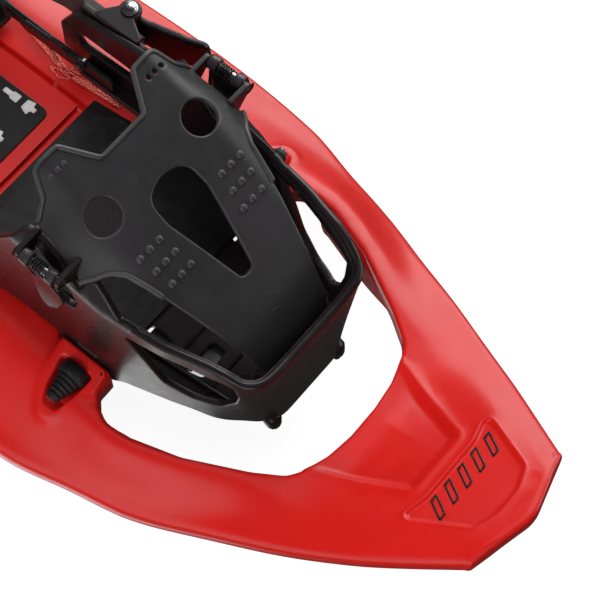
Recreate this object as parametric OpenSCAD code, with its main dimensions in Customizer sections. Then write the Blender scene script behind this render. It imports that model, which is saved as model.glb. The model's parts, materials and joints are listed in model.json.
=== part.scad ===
// Moulded snowshoe with a pivoting toe cage, a sliding heel frame and a folding climbing bar.
// +Y points to the nose, +X to the wearer's right, +Z up, z = 0 at the tips of the deck spikes.

/* [Deck] */
// Overall length of the deck
deck_len = 600; // [590:2:610]
// Widest part of the deck
deck_w = 222; // [218:1:226]
// Thickness of the moulded shell
deck_t = 4.5; // [3.5:0.5:5]
// Depth of the turned down outer edge
edge_drop = 9; // [7:1:11]
// Height of the middle of the deck above the spike tips
plateau_z = 46; // [45:0.5:46.5]
// Height of the outer edge above the spike tips
edge_z = 24; // [22:1:26]
// Height of the front of the nose above the spike tips
nose_z = 87; // [80:1:92]
// Bore of the eyelet in the tail
tail_hole_d = 9; // [6:1:10]

/* [Binding] */
// Distance of the pivot axle in front of mid length
axle_y = 98; // [96:1:99]
// Height of the pivot axle
axle_z = 45; // [44.5:0.5:45.5]
// Diameter of the pivot axle
axle_d = 5; // [4:0.5:5]
// Thickness of the walls of the toe cage
wall_t = 3; // [2.5:0.5:3.5]
// Half width of the toe cage at the axle, outside
cage_hw = 54; // [53.5:0.5:54]
// Thickness of the tongue over the toes
tongue_t = 2.6; // [2:0.2:3]
// Diameter of the round holes of the tongue
tongue_hole_d = 15.5; // [12:0.5:17]

/* [Heel] */
// Outer radius of the heel cup
cup_r = 45.3; // [43:0.1:45.3]
// Thickness of the heel strap
strap_t = 3; // [2.4:0.2:3]
// Height of the heel strap
strap_h = 20; // [16:1:21]
// Wire diameter of the climbing bar
bar_d = 5; // [4:0.5:5]
// Length of the arms of the climbing bar
bar_len = 55; // [45:1:60]

/* [Hidden] */
$fn = 32;
eps = 0.01;
half_len = deck_len / 2;

// Colours
shell_red = [0.80, 0.10, 0.07];
cage_black = [0.07, 0.07, 0.075];
tongue_grey = [0.20, 0.20, 0.21];
rubber_black = [0.10, 0.10, 0.10];
steel_grey = [0.72, 0.73, 0.75];

// Value at x of a smooth curve through the keys [[x, value], ...]
function key_slope(k, i) = let(a = max(i - 1, 0), b = min(i + 1, len(k) - 1))
    (k[b][1] - k[a][1]) / (k[b][0] - k[a][0]);
function span_of(k, x, i = 0) = (i >= len(k) - 2 || x <= k[i + 1][0]) ? i : span_of(k, x, i + 1);
function smooth(k, x) = let(i = span_of(k, x), h = k[i + 1][0] - k[i][0], t = (x - k[i][0]) / h,
    m0 = key_slope(k, i) * h, m1 = key_slope(k, i + 1) * h)
    (2 * t^3 - 3 * t^2 + 1) * k[i][1] + (t^3 - 2 * t^2 + t) * m0
    + (3 * t^2 - 2 * t^3) * k[i + 1][1] + (t^3 - t^2) * m1;
function ease(t) = let(c = min(max(t, 0), 1)) c * c * (3 - 2 * c);
function arc(cx, cy, r, a0, a1, n = 8) = [for (i = [0 : n])
    let(a = a0 + (a1 - a0) * i / n) [cx + r * cos(a), cy + r * sin(a)]];
function flip(pts) = [for (i = [len(pts) - 1 : -1 : 0]) [-pts[i][0], pts[i][1]]];
function both(pts) = concat(pts, flip(pts));

// Outline of a band of thickness t along an open path
function dir_at(p, i) = let(a = p[max(i - 1, 0)], b = p[min(i + 1, len(p) - 1)], d = b - a) d / norm(d);
function side_pts(p, s) = [for (i = [0 : len(p) - 1]) let(d = dir_at(p, i)) p[i] + s * [-d[1], d[0]]];
function band(p, t) = let(b = side_pts(p, -t / 2))
    concat(side_pts(p, t / 2), [for (i = [len(b) - 1 : -1 : 0]) b[i]]);

// Deck form: half width, edge height and middle height along the length
half_w = deck_w / 2;
corner_y = half_len - 9;
nose_hw = 5;
width_keys = [[-half_len, 36], [-half_len + 10, 52], [-265, 66], [-220, 80], [-140, 96],
    [-40, half_w - 3], [35, half_w], [93, 107.6], [153, 93.5], [213, 70.5], [258, 49.4],
    [corner_y, 31]];
edge_keys = [[-half_len, edge_z + 12], [-250, edge_z + 3], [-190, edge_z], [145, edge_z],
    [168, edge_z + 3.5], [198, edge_z + 13], [228, edge_z + 22.5], [258, edge_z + 37],
    [half_len, nose_z - 1]];
mid_keys = [[-half_len, plateau_z + 3], [-230, plateau_z], [205, plateau_z], [228, plateau_z + 5],
    [258, plateau_z + 21], [half_len, nose_z]];
flat_keys = [[-half_len, 18], [-230, 52], [-150, 58], [60, 62], [112, 72], [134, 74], [159, 66],
    [186, 52], [210, 44], [258, 30], [half_len, 14]];
function deck_hw(y) = y > corner_y
    ? 31 - (31 - nose_hw) * (y - corner_y) / (half_len - corner_y) : smooth(width_keys, y);
function deck_top(x, y) = let(w = deck_hw(y), p = min(smooth(flat_keys, y), w - 4),
    ze = smooth(edge_keys, y), zm = smooth(mid_keys, y))
    ze + (zm - ze) * ease((w - abs(x)) / (w - p));

// Toe opening: half width along the length, with a notch on each side for the axle block
open_rear = axle_y - 18;
block_l = 28;
block_end = 84;
block_rear = axle_y - block_l / 2;
block_front = axle_y + block_l / 2;
cut_hw = cage_hw + 0.6;
notch = 0.4;
opening_keys = [[-half_len, 14], [-280, 20], [-250, 40], [open_rear - 10, cut_hw], [open_rear, cut_hw],
    [block_rear - 2 * notch, cut_hw], [block_rear - notch, block_end + notch],
    [block_front + notch, block_end + notch], [block_front + 2 * notch, 63], [117, 68.5], [123, 71],
    [131, 70.8], [143, 68], [159, 63], [175, 56], [188, 48.5], [197, 42.5], [203, 36]];
open_front = 203;
open_bulge = 7;
inner_front_keys = [[open_front, 36], [212, 33], [258, 15], [half_len, 1.6]];
function inner_hw(y) = y <= open_front ? lookup(y, opening_keys) : lookup(y, inner_front_keys);

// Stations along the length and columns across it; the cells inside the opening are left out
hole_rear = -286;
hole_front = -272;
stations = concat([-half_len, -293, hole_rear, hole_front, -258, -240], [for (y = [-215 : 25 : 60]) y],
    [for (k = opening_keys) if (k[0] > 65) k[0]], [212, 221, 231, 243, 256, 269, 281, corner_y, half_len]);
inner_cols = 6;
outer_cols = 7;
function outer_x(y) = let(o = inner_hw(y), w = deck_hw(y), r = min(4, (w - o) * 0.18),
    e = min(deck_t, (w - o) * 0.2), a = o + 1.4 * r, b = w - 1.3 * e)
    [o, o + r, a, a + (b - a) * 0.33, a + (b - a) * 0.67, b, w - e, w];
function columns(y) = let(r = outer_x(y), o = r[0]) concat([for (i = [outer_cols : -1 : 0]) -r[i]],
    [for (i = [1 : inner_cols - 1]) o * (2 * i / inner_cols - 1)], r);
function bulge_at(x, y) = open_bulge * max(0, 1 - pow(x / (inner_hw(y) + eps), 2))
    * (y < open_front ? 0 : lookup(y, [[open_front, 1], [243, 0.5], [269, 0]]));
function is_rim(y, i, n) = i == 0 || i == 1 || i == n - 2 || i == n - 1;
function by_opening(y, i) = y >= open_rear && y <= open_front
    && (abs(i - outer_cols - inner_cols / 2) == inner_cols / 2
        || abs(i - outer_cols - inner_cols / 2) == inner_cols / 2 + 1);
function under(x, y, i, n) = is_rim(y, i, n) ? deck_top(deck_hw(y), y) - edge_drop
    : deck_top(x, y) - (by_opening(y, i) ? 11 : deck_t);
function is_open(s, j) = let(y = stations[s], inside = j >= outer_cols && j < outer_cols + inner_cols,
    mid = j == outer_cols + inner_cols / 2 || j == outer_cols + inner_cols / 2 - 1)
    (inside && y >= open_rear && y < open_front) || (mid && y == hole_rear);

// Part of the shell between two stations and two columns, closed on every side
cols = 2 * outer_cols + inner_cols + 1;
rows = len(stations);
rear_row = search(open_rear, stations)[0];
front_row = search(open_front, stations)[0];
module deck_part(row_a, row_b, col_a, col_b) {
    total = cols * rows;
    top = [for (y = stations) let(c = columns(y)) each [for (x = c) [x, y + bulge_at(x, y), deck_top(x, y)]]];
    low = [for (y = stations) let(c = columns(y)) each [for (i = [0 : cols - 1])
        [c[i], y + bulge_at(c[i], y), under(c[i], y, i, cols)]]];
    function gone(s, j) = s < row_a || j < col_a || s >= row_b || j >= col_b || is_open(s, j);
    function quad(a, b, c, d) = [[a, b, c], [a, c, d]];
    faces = [for (s = [0 : rows - 2], j = [0 : cols - 2]) if (!gone(s, j))
        let(a = s * cols + j, b = a + 1, c = a + cols, d = c + 1, al = a + total, bl = b + total,
            cl = c + total, dl = d + total)
        each concat(quad(a, c, d, b), quad(al, bl, dl, cl),
            gone(s - 1, j) ? quad(a, b, bl, al) : [], gone(s + 1, j) ? quad(d, c, cl, dl) : [],
            gone(s, j - 1) ? quad(c, a, al, cl) : [], gone(s, j + 1) ? quad(b, d, dl, bl) : [])];
    color(shell_red) polyhedron(points = concat(top, low), faces = faces, convexity = 10);
}
module deck() { deck_part(0, rear_row, 0, cols - 1); }
module deck_side_left() { deck_part(rear_row, front_row, 0, outer_cols); }
module deck_side_right() { deck_part(rear_row, front_row, outer_cols + inner_cols, cols - 1); }
module deck_nose() { deck_part(front_row, rows - 1, 0, cols - 1); }

// Bearing block that holds one end of the axle, with an open trough for its rubber boot
module axle_block() {
    trough = [61, 79];
    color(shell_red) difference() {
        translate([0, block_front, 0]) rotate([90, 0, 0]) linear_extrude(block_l)
            polygon([[cut_hw, 32], [cut_hw, 50.5], [60, 50], [block_end, 39], [block_end, 27], [64, 30]]);
        translate([trough[0], axle_y, axle_z]) rotate([0, 90, 0]) cylinder(h = trough[1] - trough[0], r = 8);
        translate([trough[0], axle_y - 8, axle_z]) cube([trough[1] - trough[0], 16, 10]);
        translate([cut_hw - 1, axle_y, axle_z]) rotate([0, 90, 0]) cylinder(h = 81 - cut_hw, d = axle_d);
    }
}
module axle_block_right() { axle_block(); }
module axle_block_left() { mirror([1, 0, 0]) axle_block(); }

// Raised strip along the middle of the deck
module centre_strip() {
    color(shell_red) translate([-36, -150, plateau_z]) cube([72, 160, 2]);
}

// Eyelet of the cord hole in the tail
tail_y = (hole_rear + hole_front) / 2;
module tail_eyelet() {
    lip_z = deck_top(0, tail_y - 9) + 0.3;
    color(cage_black) translate([0, tail_y, lip_z - deck_t - 1]) difference() {
        union() {
            cylinder(h = deck_t + 2.5, r = 6);
            translate([0, 0, deck_t + 1]) cylinder(h = 1.5, r = 9);
        }
        translate([0, 0, -1]) cylinder(h = deck_t + 6, d = tail_hole_d);
    }
}

spike_x = [74, 84, 60];
spike_y = [150, -20, -205];
bar_y = -157;
bar_z = 50.5;

// Outline emblem on the nose plate: three slanted bars
module nose_inlay() {
    bar_t = 1.2;
    lift = 0.6;
    rise = atan2(nose_z - (plateau_z + 21), half_len - 258);
    color(cage_black) translate([0, 275, deck_top(0, 275) + lift]) rotate([rise, 0, 0])
        for (i = [-1 : 1]) translate([i * 9, 0, 0]) linear_extrude(bar_t)
            polygon([[-4, -4], [0, 4], [4, 4], [0, -4]]);
}

// Printed plate on the centre strip
module info_label() {
    color(cage_black) translate([-25, -75, plateau_z + 2]) cube([50, 78, 0.8]);
}

// Six steel spikes, each with a stem pressed into the underside of the deck
module deck_spikes() {
    spike_r = 4;
    stem_r = 2;
    color(steel_grey) for (i = [0 : 2], s = [-1, 1]) translate([s * spike_x[i], spike_y[i], 0]) {
        shoulder_z = deck_top(spike_x[i] + spike_r, spike_y[i]) - deck_t;
        stem_z = deck_top(spike_x[i] + stem_r, spike_y[i]) - 1;
        cylinder(h = 10, r1 = 1, r2 = spike_r);
        translate([0, 0, 10]) cylinder(h = shoulder_z - 10, r = spike_r);
        translate([0, 0, 10]) cylinder(h = stem_z - 10, r = stem_r);
        translate([0, 0, 12]) cylinder(h = 4, r = 6);
    }
}

// Rubber stops that the heel frame rests on
module heel_bumpers() {
    color(rubber_black) for (s = [-1, 1]) translate([s * 30, -142, plateau_z + 2])
        cylinder(h = 2.5, r = 4.5);
}

axle_len = 160;
module binding_axle() {
    color(steel_grey) translate([-axle_len / 2, axle_y, axle_z]) rotate([0, 90, 0])
        cylinder(h = axle_len, d = axle_d);
}

// Ribbed rubber cone over one end of the axle
module axle_boot() {
    boot_l = 17.6;
    ribs = 5;
    color(rubber_black) translate([61.05, axle_y, axle_z]) rotate([0, 90, 0]) rotate_extrude()
        polygon(concat([[axle_d / 2, 0], [7, 0]],
            [for (i = [0 : ribs - 1]) let(z = boot_l * (i + 0.5) / ribs, r = 7 - 3.4 * z / boot_l)
                each [[r + 0.2, z], [r - 0.5, z + boot_l * 0.4 / ribs]]],
            [[3.4, boot_l], [axle_d / 2, boot_l]]));
}
module axle_boot_right() { axle_boot(); }
module axle_boot_left() { mirror([1, 0, 0]) axle_boot(); }

// Two moulded clips that hold the hinge rod of the climbing bar
module bar_clips() {
    color(cage_black) for (s = [-1, 1]) translate([s * 34, bar_y, 0]) difference() {
        translate([-4, -6, plateau_z]) cube([8, 12, 9.5]);
        translate([-5, 0, bar_z]) rotate([0, 90, 0]) cylinder(h = 10, d = bar_d + 0.1);
    }
}

// Bent wire loop that folds up behind the heel
module climbing_bar() {
    arm_x = 22;
    color(steel_grey) translate([0, bar_y, bar_z]) {
        translate([-43, 0, 0]) rotate([0, 90, 0]) cylinder(h = 86, d = bar_d);
        for (s = [-1, 1]) translate([s * arm_x, 0, 0]) rotate([90, 0, 0]) cylinder(h = bar_len, d = bar_d);
        for (s = [-1, 1]) translate([s * arm_x, -bar_len, 0]) sphere(d = bar_d);
        translate([-arm_x, -bar_len, 0]) rotate([0, 90, 0]) cylinder(h = 2 * arm_x, d = bar_d);
    }
}

// Toe cage: plan outline of the right half, outside
cage_front = 183;
arm_rear = -14;
cage_rear = 62;
cage_half = concat([[58, arm_rear], [57, 30], [55, cage_rear], [cage_hw, 88], [cage_hw, 112], [50.5, 128],
    [47.5, 142], [43.5, 158]], arc(31.5, 171, 12, 12, 90, 7));
function inset(p, t) = [max(abs(p[0]) - t, 0) * sign(p[0]), p[1] - (p[1] > 160 ? t * 0.9 : 0)];
cage_inner = [for (p = cage_half) inset(p, wall_t)];
module cage_walls() {
    difference() {
        linear_extrude(170) polygon(both(cage_half));
        translate([0, 0, -1]) linear_extrude(172) polygon(both(concat(
            [[58 - wall_t, arm_rear - 5]], cage_inner)));
    }
}
// Side view of the cage, as [y, z]
cage_side = [[arm_rear, 54], [arm_rear, 74], [-4, 92], [20, 97], [52, 108], [74, 141], [84, 146],
    [97, 140], [108, 128], [117, 116], [124, 111], [166, 109], [176, 103], [cage_front, 100],
    [cage_front, 36], [176, 36], [150, 46], [118, 47], [110, 38], [88, 38], [80, 51], [60, 52]];
floor_z = 52;
floor_t = 3.5;
lever_y = 86;
lever_z = 132;
lever_x = cage_hw + 4.7;
tongue_pin_y = 171;
tongue_pin_z = 66;

module side_prism(pts, w) {
    translate([-w / 2, 0, 0]) rotate([90, 0, 90]) linear_extrude(w) polygon(pts);
}

module latch_ears() {
    ear_t = 3.2;
    for (y = [lever_y - 12.4 - ear_t, lever_y + 12.4]) difference() {
        translate([cage_hw - 1.2, y, lever_z - 6]) cube([9.2, ear_t, 11]);
        translate([lever_x, y - 1, lever_z]) rotate([-90, 0, 0]) cylinder(h = ear_t + 2, d = 4);
    }
}

// Walls of the cage between two stations, cut to the side view
module wall_part(y0, y1) {
    intersection() {
        cage_walls();
        side_prism(cage_side, 130);
        translate([-70, y0, 0]) cube([140, y1 - y0, 170]);
    }
}

// Front and side walls round the toes
boss_in = 46;
module toe_cage() {
    color(cage_black) difference() {
        union() {
            wall_part(cage_rear, cage_front + 1);
            for (s = [0, 1]) mirror([s, 0, 0]) {
                latch_ears();
                translate([boss_in, axle_y, axle_z]) rotate([0, 90, 0]) cylinder(h = cage_hw - boss_in, r = 7);
                translate([boss_in, axle_y - 7, axle_z]) cube([cage_hw - boss_in, 14, floor_z - axle_z]);
            }
        }
        for (s = [0, 1]) mirror([s, 0, 0]) {
            // Side window, pawl slot and finger recess
            translate([30, 0, 0]) rotate([90, 0, 90]) linear_extrude(40) polygon(concat(
                [[124, 99]], [[130, 85], [140, 71]], arc(157, 76, 14, 225, 345, 6), [[172, 92], [168, 98]]));
            translate([cage_hw - wall_t - 1, lever_y - 9, lever_z - 6]) cube([wall_t + 1.6, 18, 10]);
            translate([cage_hw - wall_t - 1, lever_y - 8, 96]) cube([wall_t + 3, 16, 14]);
            translate([boss_in - 1, axle_y, axle_z]) rotate([0, 90, 0]) cylinder(h = 11, r = 4);
        }
    }
}

// Rear part of one side wall, with the lip below its sliding rail
module cage_arm() {
    color(cage_black) union() {
        intersection() {
            wall_part(arm_rear - 1, cage_rear);
            translate([0, arm_rear - 1, 0]) cube([70, 90, 170]);
        }
        translate([47.5, 0, floor_z]) cube([7, 60, 3.3]);
    }
}
module cage_arm_right() { cage_arm(); }
module cage_arm_left() { mirror([1, 0, 0]) cage_arm(); }

// Floor plate between the walls, with the two lugs that carry the tongue pin
module cage_floor() {
    pin_lug_x = 15;
    color(cage_black) difference() {
        union() {
            translate([0, 0, floor_z]) linear_extrude(floor_t) polygon(both(concat(
                [[38, 20], [46, 32], [46, cage_rear]], [for (p = cage_inner) if (p[1] >= cage_rear) p])));
            for (s = [-1, 1]) translate([s * (pin_lug_x + 2.5) - 2.5, tongue_pin_y - 5, floor_z + 1])
                cube([5, 10.5, tongue_pin_z - floor_z + 4]);
        }
        for (s = [0, 1]) mirror([s, 0, 0]) {
            for (y = [118, 138]) translate([16, y, floor_z - 1]) cube([20, 8, floor_t + 2]);
            translate([pin_lug_x - 1, tongue_pin_y, tongue_pin_z]) rotate([0, 90, 0]) cylinder(h = 7, d = 4);
        }
        translate([0, 60, floor_z - 1]) cylinder(h = floor_t + 2, r = 12);
    }
}

module toe_pad() {
    color(rubber_black) difference() {
        translate([0, 0, floor_z + floor_t]) linear_extrude(2) polygon(both([[34, 24], [40, 34],
            [40, 108], [36, 112]]));
        translate([0, 60, floor_z]) cylinder(h = 10, r = 12);
    }
}

module pivot_bush() {
    color(tongue_grey) translate([boss_in, axle_y, axle_z]) rotate([0, 90, 0]) difference() {
        cylinder(h = cage_hw - boss_in, r = 4);
        translate([0, 0, -1]) cylinder(h = 12, d = axle_d + 0.06);
    }
}
module pivot_bush_right() { pivot_bush(); }
module pivot_bush_left() { mirror([1, 0, 0]) pivot_bush(); }

// Steel claw plate under the floor of the cage
module front_crampon() {
    plate_t = 2;
    color(steel_grey) {
        difference() {
            translate([-40, 112, floor_z - plate_t]) cube([80, 40, plate_t]);
            for (s = [-1, 1], y = [118, 138]) translate([s * 26 - 10, y, 45]) cube([20, 8, 10]);
            for (s = [-1, 1], y = [132]) translate([s * 32, y, 45]) cylinder(h = 10, r = 1.6);
        }
        for (s = [0, 1]) mirror([s, 0, 0]) {
            translate([38, 0, 0]) rotate([90, 0, 90]) linear_extrude(plate_t) polygon([[112, floor_z],
                [152, floor_z], [148, 30], [141, 9], [137, 30], [130, 36], [124, 30], [120, 12], [115, 30]]);
            translate([0, 114, 0]) rotate([90, 0, 0]) linear_extrude(plate_t) polygon([[0, floor_z],
                [39, floor_z], [30, 38], [22, 16], [15, 36], [8, 40], [0, 40]]);
        }
    }
}

module crampon_rivets() {
    color(steel_grey) for (s = [-1, 1]) translate([s * 32, 132, 0]) {
        translate([0, 0, floor_z - 3.5]) cylinder(h = 1.5, r = 3);
        translate([0, 0, floor_z - 2.5]) cylinder(h = 2.5, r = 1.6);
    }
}

// Tongue over the toes: middle line in side view, as [y, z]
tongue_keys = [[64, 161], [96, 145.6], [116, 134], [130, 124.5], [145, 112.8], [160, 99.3],
    [169, 87], [172.6, 74]];
tongue_mid = concat([for (y = [64 : 8 : 168]) [y, smooth(tongue_keys, y)]],
    [[170.6, 84], [172.6, 76], [172.2, tongue_pin_z + 3]]);
tongue_half = concat([[14, 80], [23.5, 65], [35.5, 64], [39.5, 72], [42, 79], [49, 80], [49, 107]],
    arc(52, 126, 17, 215, 175, 4), [[32.5, 137], [28.5, 150], [24.5, 162], [22, 171], [12, 176]]);
flap_x = 47;
module tongue() {
    color(tongue_grey) {
        difference() {
            intersection() {
                side_prism(band(tongue_mid, tongue_t), 110);
                translate([0, 0, 50]) linear_extrude(130) polygon(both(tongue_half));
            }
            for (s = [-1, 1]) translate([s * 29.5, 96, 100]) cylinder(h = 70, d = tongue_hole_d);
            // Tapered middle hole
            translate([0, 0, 80]) linear_extrude(90) polygon(both(concat(arc(0, 110, 12, -90, 15, 7),
                arc(0, 144, 3, 20, 90, 3))));
            translate([-30, tongue_pin_y, tongue_pin_z]) rotate([0, 90, 0]) cylinder(h = 60, r = 2.5);
            for (s = [-1, 1]) translate([s * 24.5 - 10, 160, 60]) cube([20, 30, 13]);
        }
        // Eye that turns on the pin
        translate([-14.5, tongue_pin_y, tongue_pin_z]) rotate([0, 90, 0]) difference() {
            cylinder(h = 29, r = 4.2);
            translate([0, 0, -1]) cylinder(h = 31, d = 4.06);
        }
        // Side flaps that run down inside the walls
        for (s = [-1, 1]) translate([s * (flap_x + 1), 0, 0]) side_prism([[81, 152.5], [81, 128],
            [86, 121], [100, 121], [104, 126], [104, 140.5]], 2);
        // Gripping studs
        for (s = [-1, 1], i = [0 : 2], j = [0 : 2]) let(y = 116 + 7 * j, x = 31 - 5.8 * i - 1.4 * j)
            translate([s * x, y, smooth(tongue_keys, y) + 0.8]) sphere(d = 3.6, $fn = 16);
    }
}

module tongue_pin() {
    color(steel_grey) translate([-20, tongue_pin_y, tongue_pin_z]) rotate([0, 90, 0]) cylinder(h = 40, d = 4);
}

// Spring loaded pawl lever on the outside of the cage wall, right hand side
lever_w = 18;
module latch_lever() {
    color(cage_black) difference() {
        union() {
            translate([lever_x, lever_y - lever_w / 2, lever_z]) rotate([-90, 0, 0])
                cylinder(h = lever_w, r = 4);
            translate([0, lever_y + lever_w / 2, 0]) rotate([90, 0, 0]) linear_extrude(lever_w)
                polygon([[lever_x - 1, lever_z], [lever_x - 1, 116], [lever_x + 2, 104], [lever_x + 6, 98],
                    [lever_x + 8.5, 100], [lever_x + 4.5, 108], [lever_x + 3, 118], [lever_x + 3, lever_z]]);
            translate([50.4, lever_y - 7.5, lever_z - 1.5]) cube([lever_x - 50.4, 15, 3.5]);
        }
        translate([lever_x, lever_y - 12, lever_z]) rotate([-90, 0, 0]) cylinder(h = 24, d = 4.06);
    }
}
module latch_lever_right() { latch_lever(); }
module latch_lever_left() { mirror([1, 0, 0]) latch_lever(); }

module latch_pin() {
    color(steel_grey) translate([lever_x, lever_y - 16, lever_z]) rotate([-90, 0, 0]) {
        cylinder(h = 32, d = 4);
        translate([0, 0, -1.2]) cylinder(h = 1.3, r = 2.8);
    }
}
module latch_pin_right() { latch_pin(); }
module latch_pin_left() { mirror([1, 0, 0]) latch_pin(); }

// Close wound torsion spring beside the lever, as one ribbed sleeve
module latch_spring() {
    wire = 0.7;
    turns = 4;
    color(steel_grey) translate([lever_x, lever_y + lever_w / 2 + 0.3, lever_z]) rotate([-90, 0, 0])
        rotate_extrude() union() {
            translate([2.2, 0]) square([0.5, wire * turns]);
            for (i = [0 : turns - 1]) translate([2.6, wire * (i + 0.5)]) circle(d = wire, $fn = 16);
        }
}
module latch_spring_right() { latch_spring(); }
module latch_spring_left() { mirror([1, 0, 0]) latch_spring(); }

// Heel frame: heel plate with two rails that slide in the arms of the cage
rail_in = 47;
plate_front = -44;
rail_w = 4;
plate_z = plateau_z + 4.5;
module heel_frame() {
    color(cage_black) difference() {
        union() {
            translate([0, 0, plate_z]) linear_extrude(4) polygon(both(concat(
                [[0, plate_front], [rail_in + rail_w, plate_front], [rail_in + rail_w, -110]],
                arc(24, -122, 29, -25, -90, 6))));
            for (s = [0, 1]) mirror([s, 0, 0]) {
                translate([rail_in, -130, plate_z]) cube([rail_w, 130 + plate_front, 20]);
                translate([rail_in, plate_front - 2, floor_z + 3.6])
                    cube([rail_w, 22 - plate_front, plate_z + 16.4 - floor_z]);
            }
        }
        for (s = [-1, 1], y = [-66, -90, -114]) translate([s * 20, y, plate_z - 1]) cylinder(h = 8, r = 7);
        for (s = [0, 1]) mirror([s, 0, 0]) {
            for (y = [-118, -96]) translate([rail_in - 1, y, 64]) rotate([0, 90, 0]) cylinder(h = 8, r = 2);
            translate([rail_in - 1, 4, 64]) rotate([0, 90, 0]) cylinder(h = 8, r = 1.5);
        }
        translate([-60, -160, plate_z + 12]) cube([120, 36, 20]);
    }
}

module heel_pad() {
    color(rubber_black) difference() {
        translate([0, 0, plate_z + 4]) linear_extrude(2.5) polygon(both(concat(
            [[0, -48], [34, -48], [34, -112]], arc(20, -118, 16, -20, -90, 5))));
        for (s = [-1, 1], y = [-66, -90, -114]) translate([s * 20, y, plate_z]) cylinder(h = 10, r = 7);
    }
}

// Moulded cup behind the heel, fastened inside the rails
cup_y = -100;
module heel_cup() {
    cup_h = 44;
    color(cage_black) difference() {
        translate([0, 0, 60]) linear_extrude(cup_h) polygon(band(concat(
            [[cup_r - 1.6, -62]], [[cup_r - 1.6, -85]], arc(0, cup_y, cup_r - 1.6, 0, -180, 20),
            [[1.6 - cup_r, -85], [1.6 - cup_r, -62]]), 3.2));
        side_prism([[-50, 76], [-80, 84], [-118, 110], [-50, 110]], 120);
    }
    color(cage_black) for (s = [0, 1]) mirror([s, 0, 0]) difference() {
        translate([cup_r - 1, -124, 58.5]) cube([rail_in - cup_r + 1, 34, 11]);
        for (y = [-118, -96]) translate([cup_r - 2, y, 64]) rotate([0, 90, 0]) cylinder(h = 8, r = 2);
    }
}

module heel_rivets() {
    color(steel_grey) for (s = [0, 1], y = [-118, -96]) mirror([s, 0, 0]) translate([0, y, 64])
        rotate([0, 90, 0]) {
            translate([0, 0, cup_r]) cylinder(h = rail_in + rail_w - cup_r, r = 2);
            translate([0, 0, rail_in + rail_w]) cylinder(h = 1.2, r = 3.6);
        }
}

// Lever on the inner face of a rail that locks the length of the binding
module size_latch() {
    color(cage_black) difference() {
        union() {
            translate([rail_in - 4.3, 0, 0]) rotate([90, 0, 90]) linear_extrude(4)
                polygon(concat([[-34, 66], [-30, 60.5]], arc(4, 64, 4.5, -90, 60, 6), [[2, 72], [-26, 71]]));
            translate([rail_in - 4.3, -12, 71.2]) cube([8.6, 8, 3]);
            translate([rail_in - 4.3, -12, 68]) cube([4, 8, 4]);
        }
        translate([rail_in - 6, 4, 64]) rotate([0, 90, 0]) cylinder(h = 8, r = 1.53);
    }
}
module size_latch_right() { size_latch(); }
module size_latch_left() { mirror([1, 0, 0]) size_latch(); }

module size_latch_pins() {
    color(steel_grey) for (s = [0, 1]) mirror([s, 0, 0]) translate([0, 4, 64]) rotate([0, 90, 0]) {
        translate([0, 0, rail_in - 4.6]) cylinder(h = rail_w + 4.6, r = 1.5);
        translate([0, 0, rail_in - 5.6]) cylinder(h = 1.1, r = 2.6);
    }
}

// Toothed strap from the right arm round the heel to the buckle on the left arm
strap_z = 74;
strap_path = concat([[-63.2, 30], [-63.2, -18]], arc(0, cup_y, 47.8, 180, 360, 24), [[59.7, -18], [59.7, 12]]);
module ladder_strap() {
    color(cage_black) difference() {
        translate([0, 0, strap_z]) linear_extrude(strap_h) polygon(band(strap_path, strap_t));
        translate([50, 4, strap_z + strap_h / 2]) rotate([0, 90, 0]) cylinder(h = 20, r = 2);
    }
}

module strap_rivets() {
    color(steel_grey) translate([0, 4, strap_z + strap_h / 2]) rotate([0, 90, 0]) {
        translate([0, 0, 58]) cylinder(h = 3.4, r = 2);
        translate([0, 0, 61.3]) cylinder(h = 1.5, r = 4);
    }
}

// Ratchet buckle on the left arm
pin_x = -69.6;
pin_y = 18;
buckle_z = 72;
buckle_h = 24;
module buckle_base() {
    color(tongue_grey) difference() {
        union() {
            translate([-61.3, pin_y - 22, buckle_z]) cube([3.2, 42, buckle_h]);
            for (z = [buckle_z - 3, buckle_z + buckle_h]) translate([0, 0, z]) linear_extrude(3)
                polygon(concat([[-58.2, pin_y - 22], [-58.2, pin_y + 20], [-61.3, pin_y + 20]],
                    arc(pin_x, pin_y, 6, 60, 250, 8), [[-66, pin_y - 20]]));
        }
        translate([pin_x, pin_y, buckle_z - 6]) cylinder(h = 40, r = 2.5);
    }
}

module buckle_lever() {
    blade = [[pin_x - 1, pin_y + 3], [pin_x - 3, pin_y + 14], [pin_x - 6, pin_y + 28], [pin_x - 11, pin_y + 39]];
    color(cage_black) difference() {
        union() {
            translate([pin_x, pin_y, buckle_z + 3.6]) cylinder(h = buckle_h - 3.9, r = 4.4);
            intersection() {
                translate([0, 0, buckle_z + 0.3]) linear_extrude(buckle_h - 0.6) polygon(band(blade, 3.6));
                translate([-120, 0, 0]) rotate([90, 0, 90]) linear_extrude(80) polygon([[0, buckle_z + 4],
                    [0, buckle_z + 23], [45, buckle_z + 23], [57, buckle_z + 22], [59, buckle_z + 14],
                    [54, buckle_z + 3], [42, buckle_z + 1], [28, buckle_z + 4]]);
            }
        }
        translate([pin_x, pin_y, buckle_z - 6]) cylinder(h = 40, r = 2.53);
    }
}

module buckle_pin() {
    color(steel_grey) translate([pin_x, pin_y, 0]) {
        translate([0, 0, buckle_z - 3]) cylinder(h = buckle_h + 6, r = 2.5);
        difference() {
            translate([0, 0, buckle_z + buckle_h + 3]) cylinder(h = 1.8, r = 3.6);
            translate([0, 0, buckle_z + buckle_h + 3.8]) cylinder(h = 2, r = 1.7, $fn = 6);
        }
        translate([0, 0, buckle_z - 4.5]) cylinder(h = 1.5, r = 3.6);
    }
}

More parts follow.
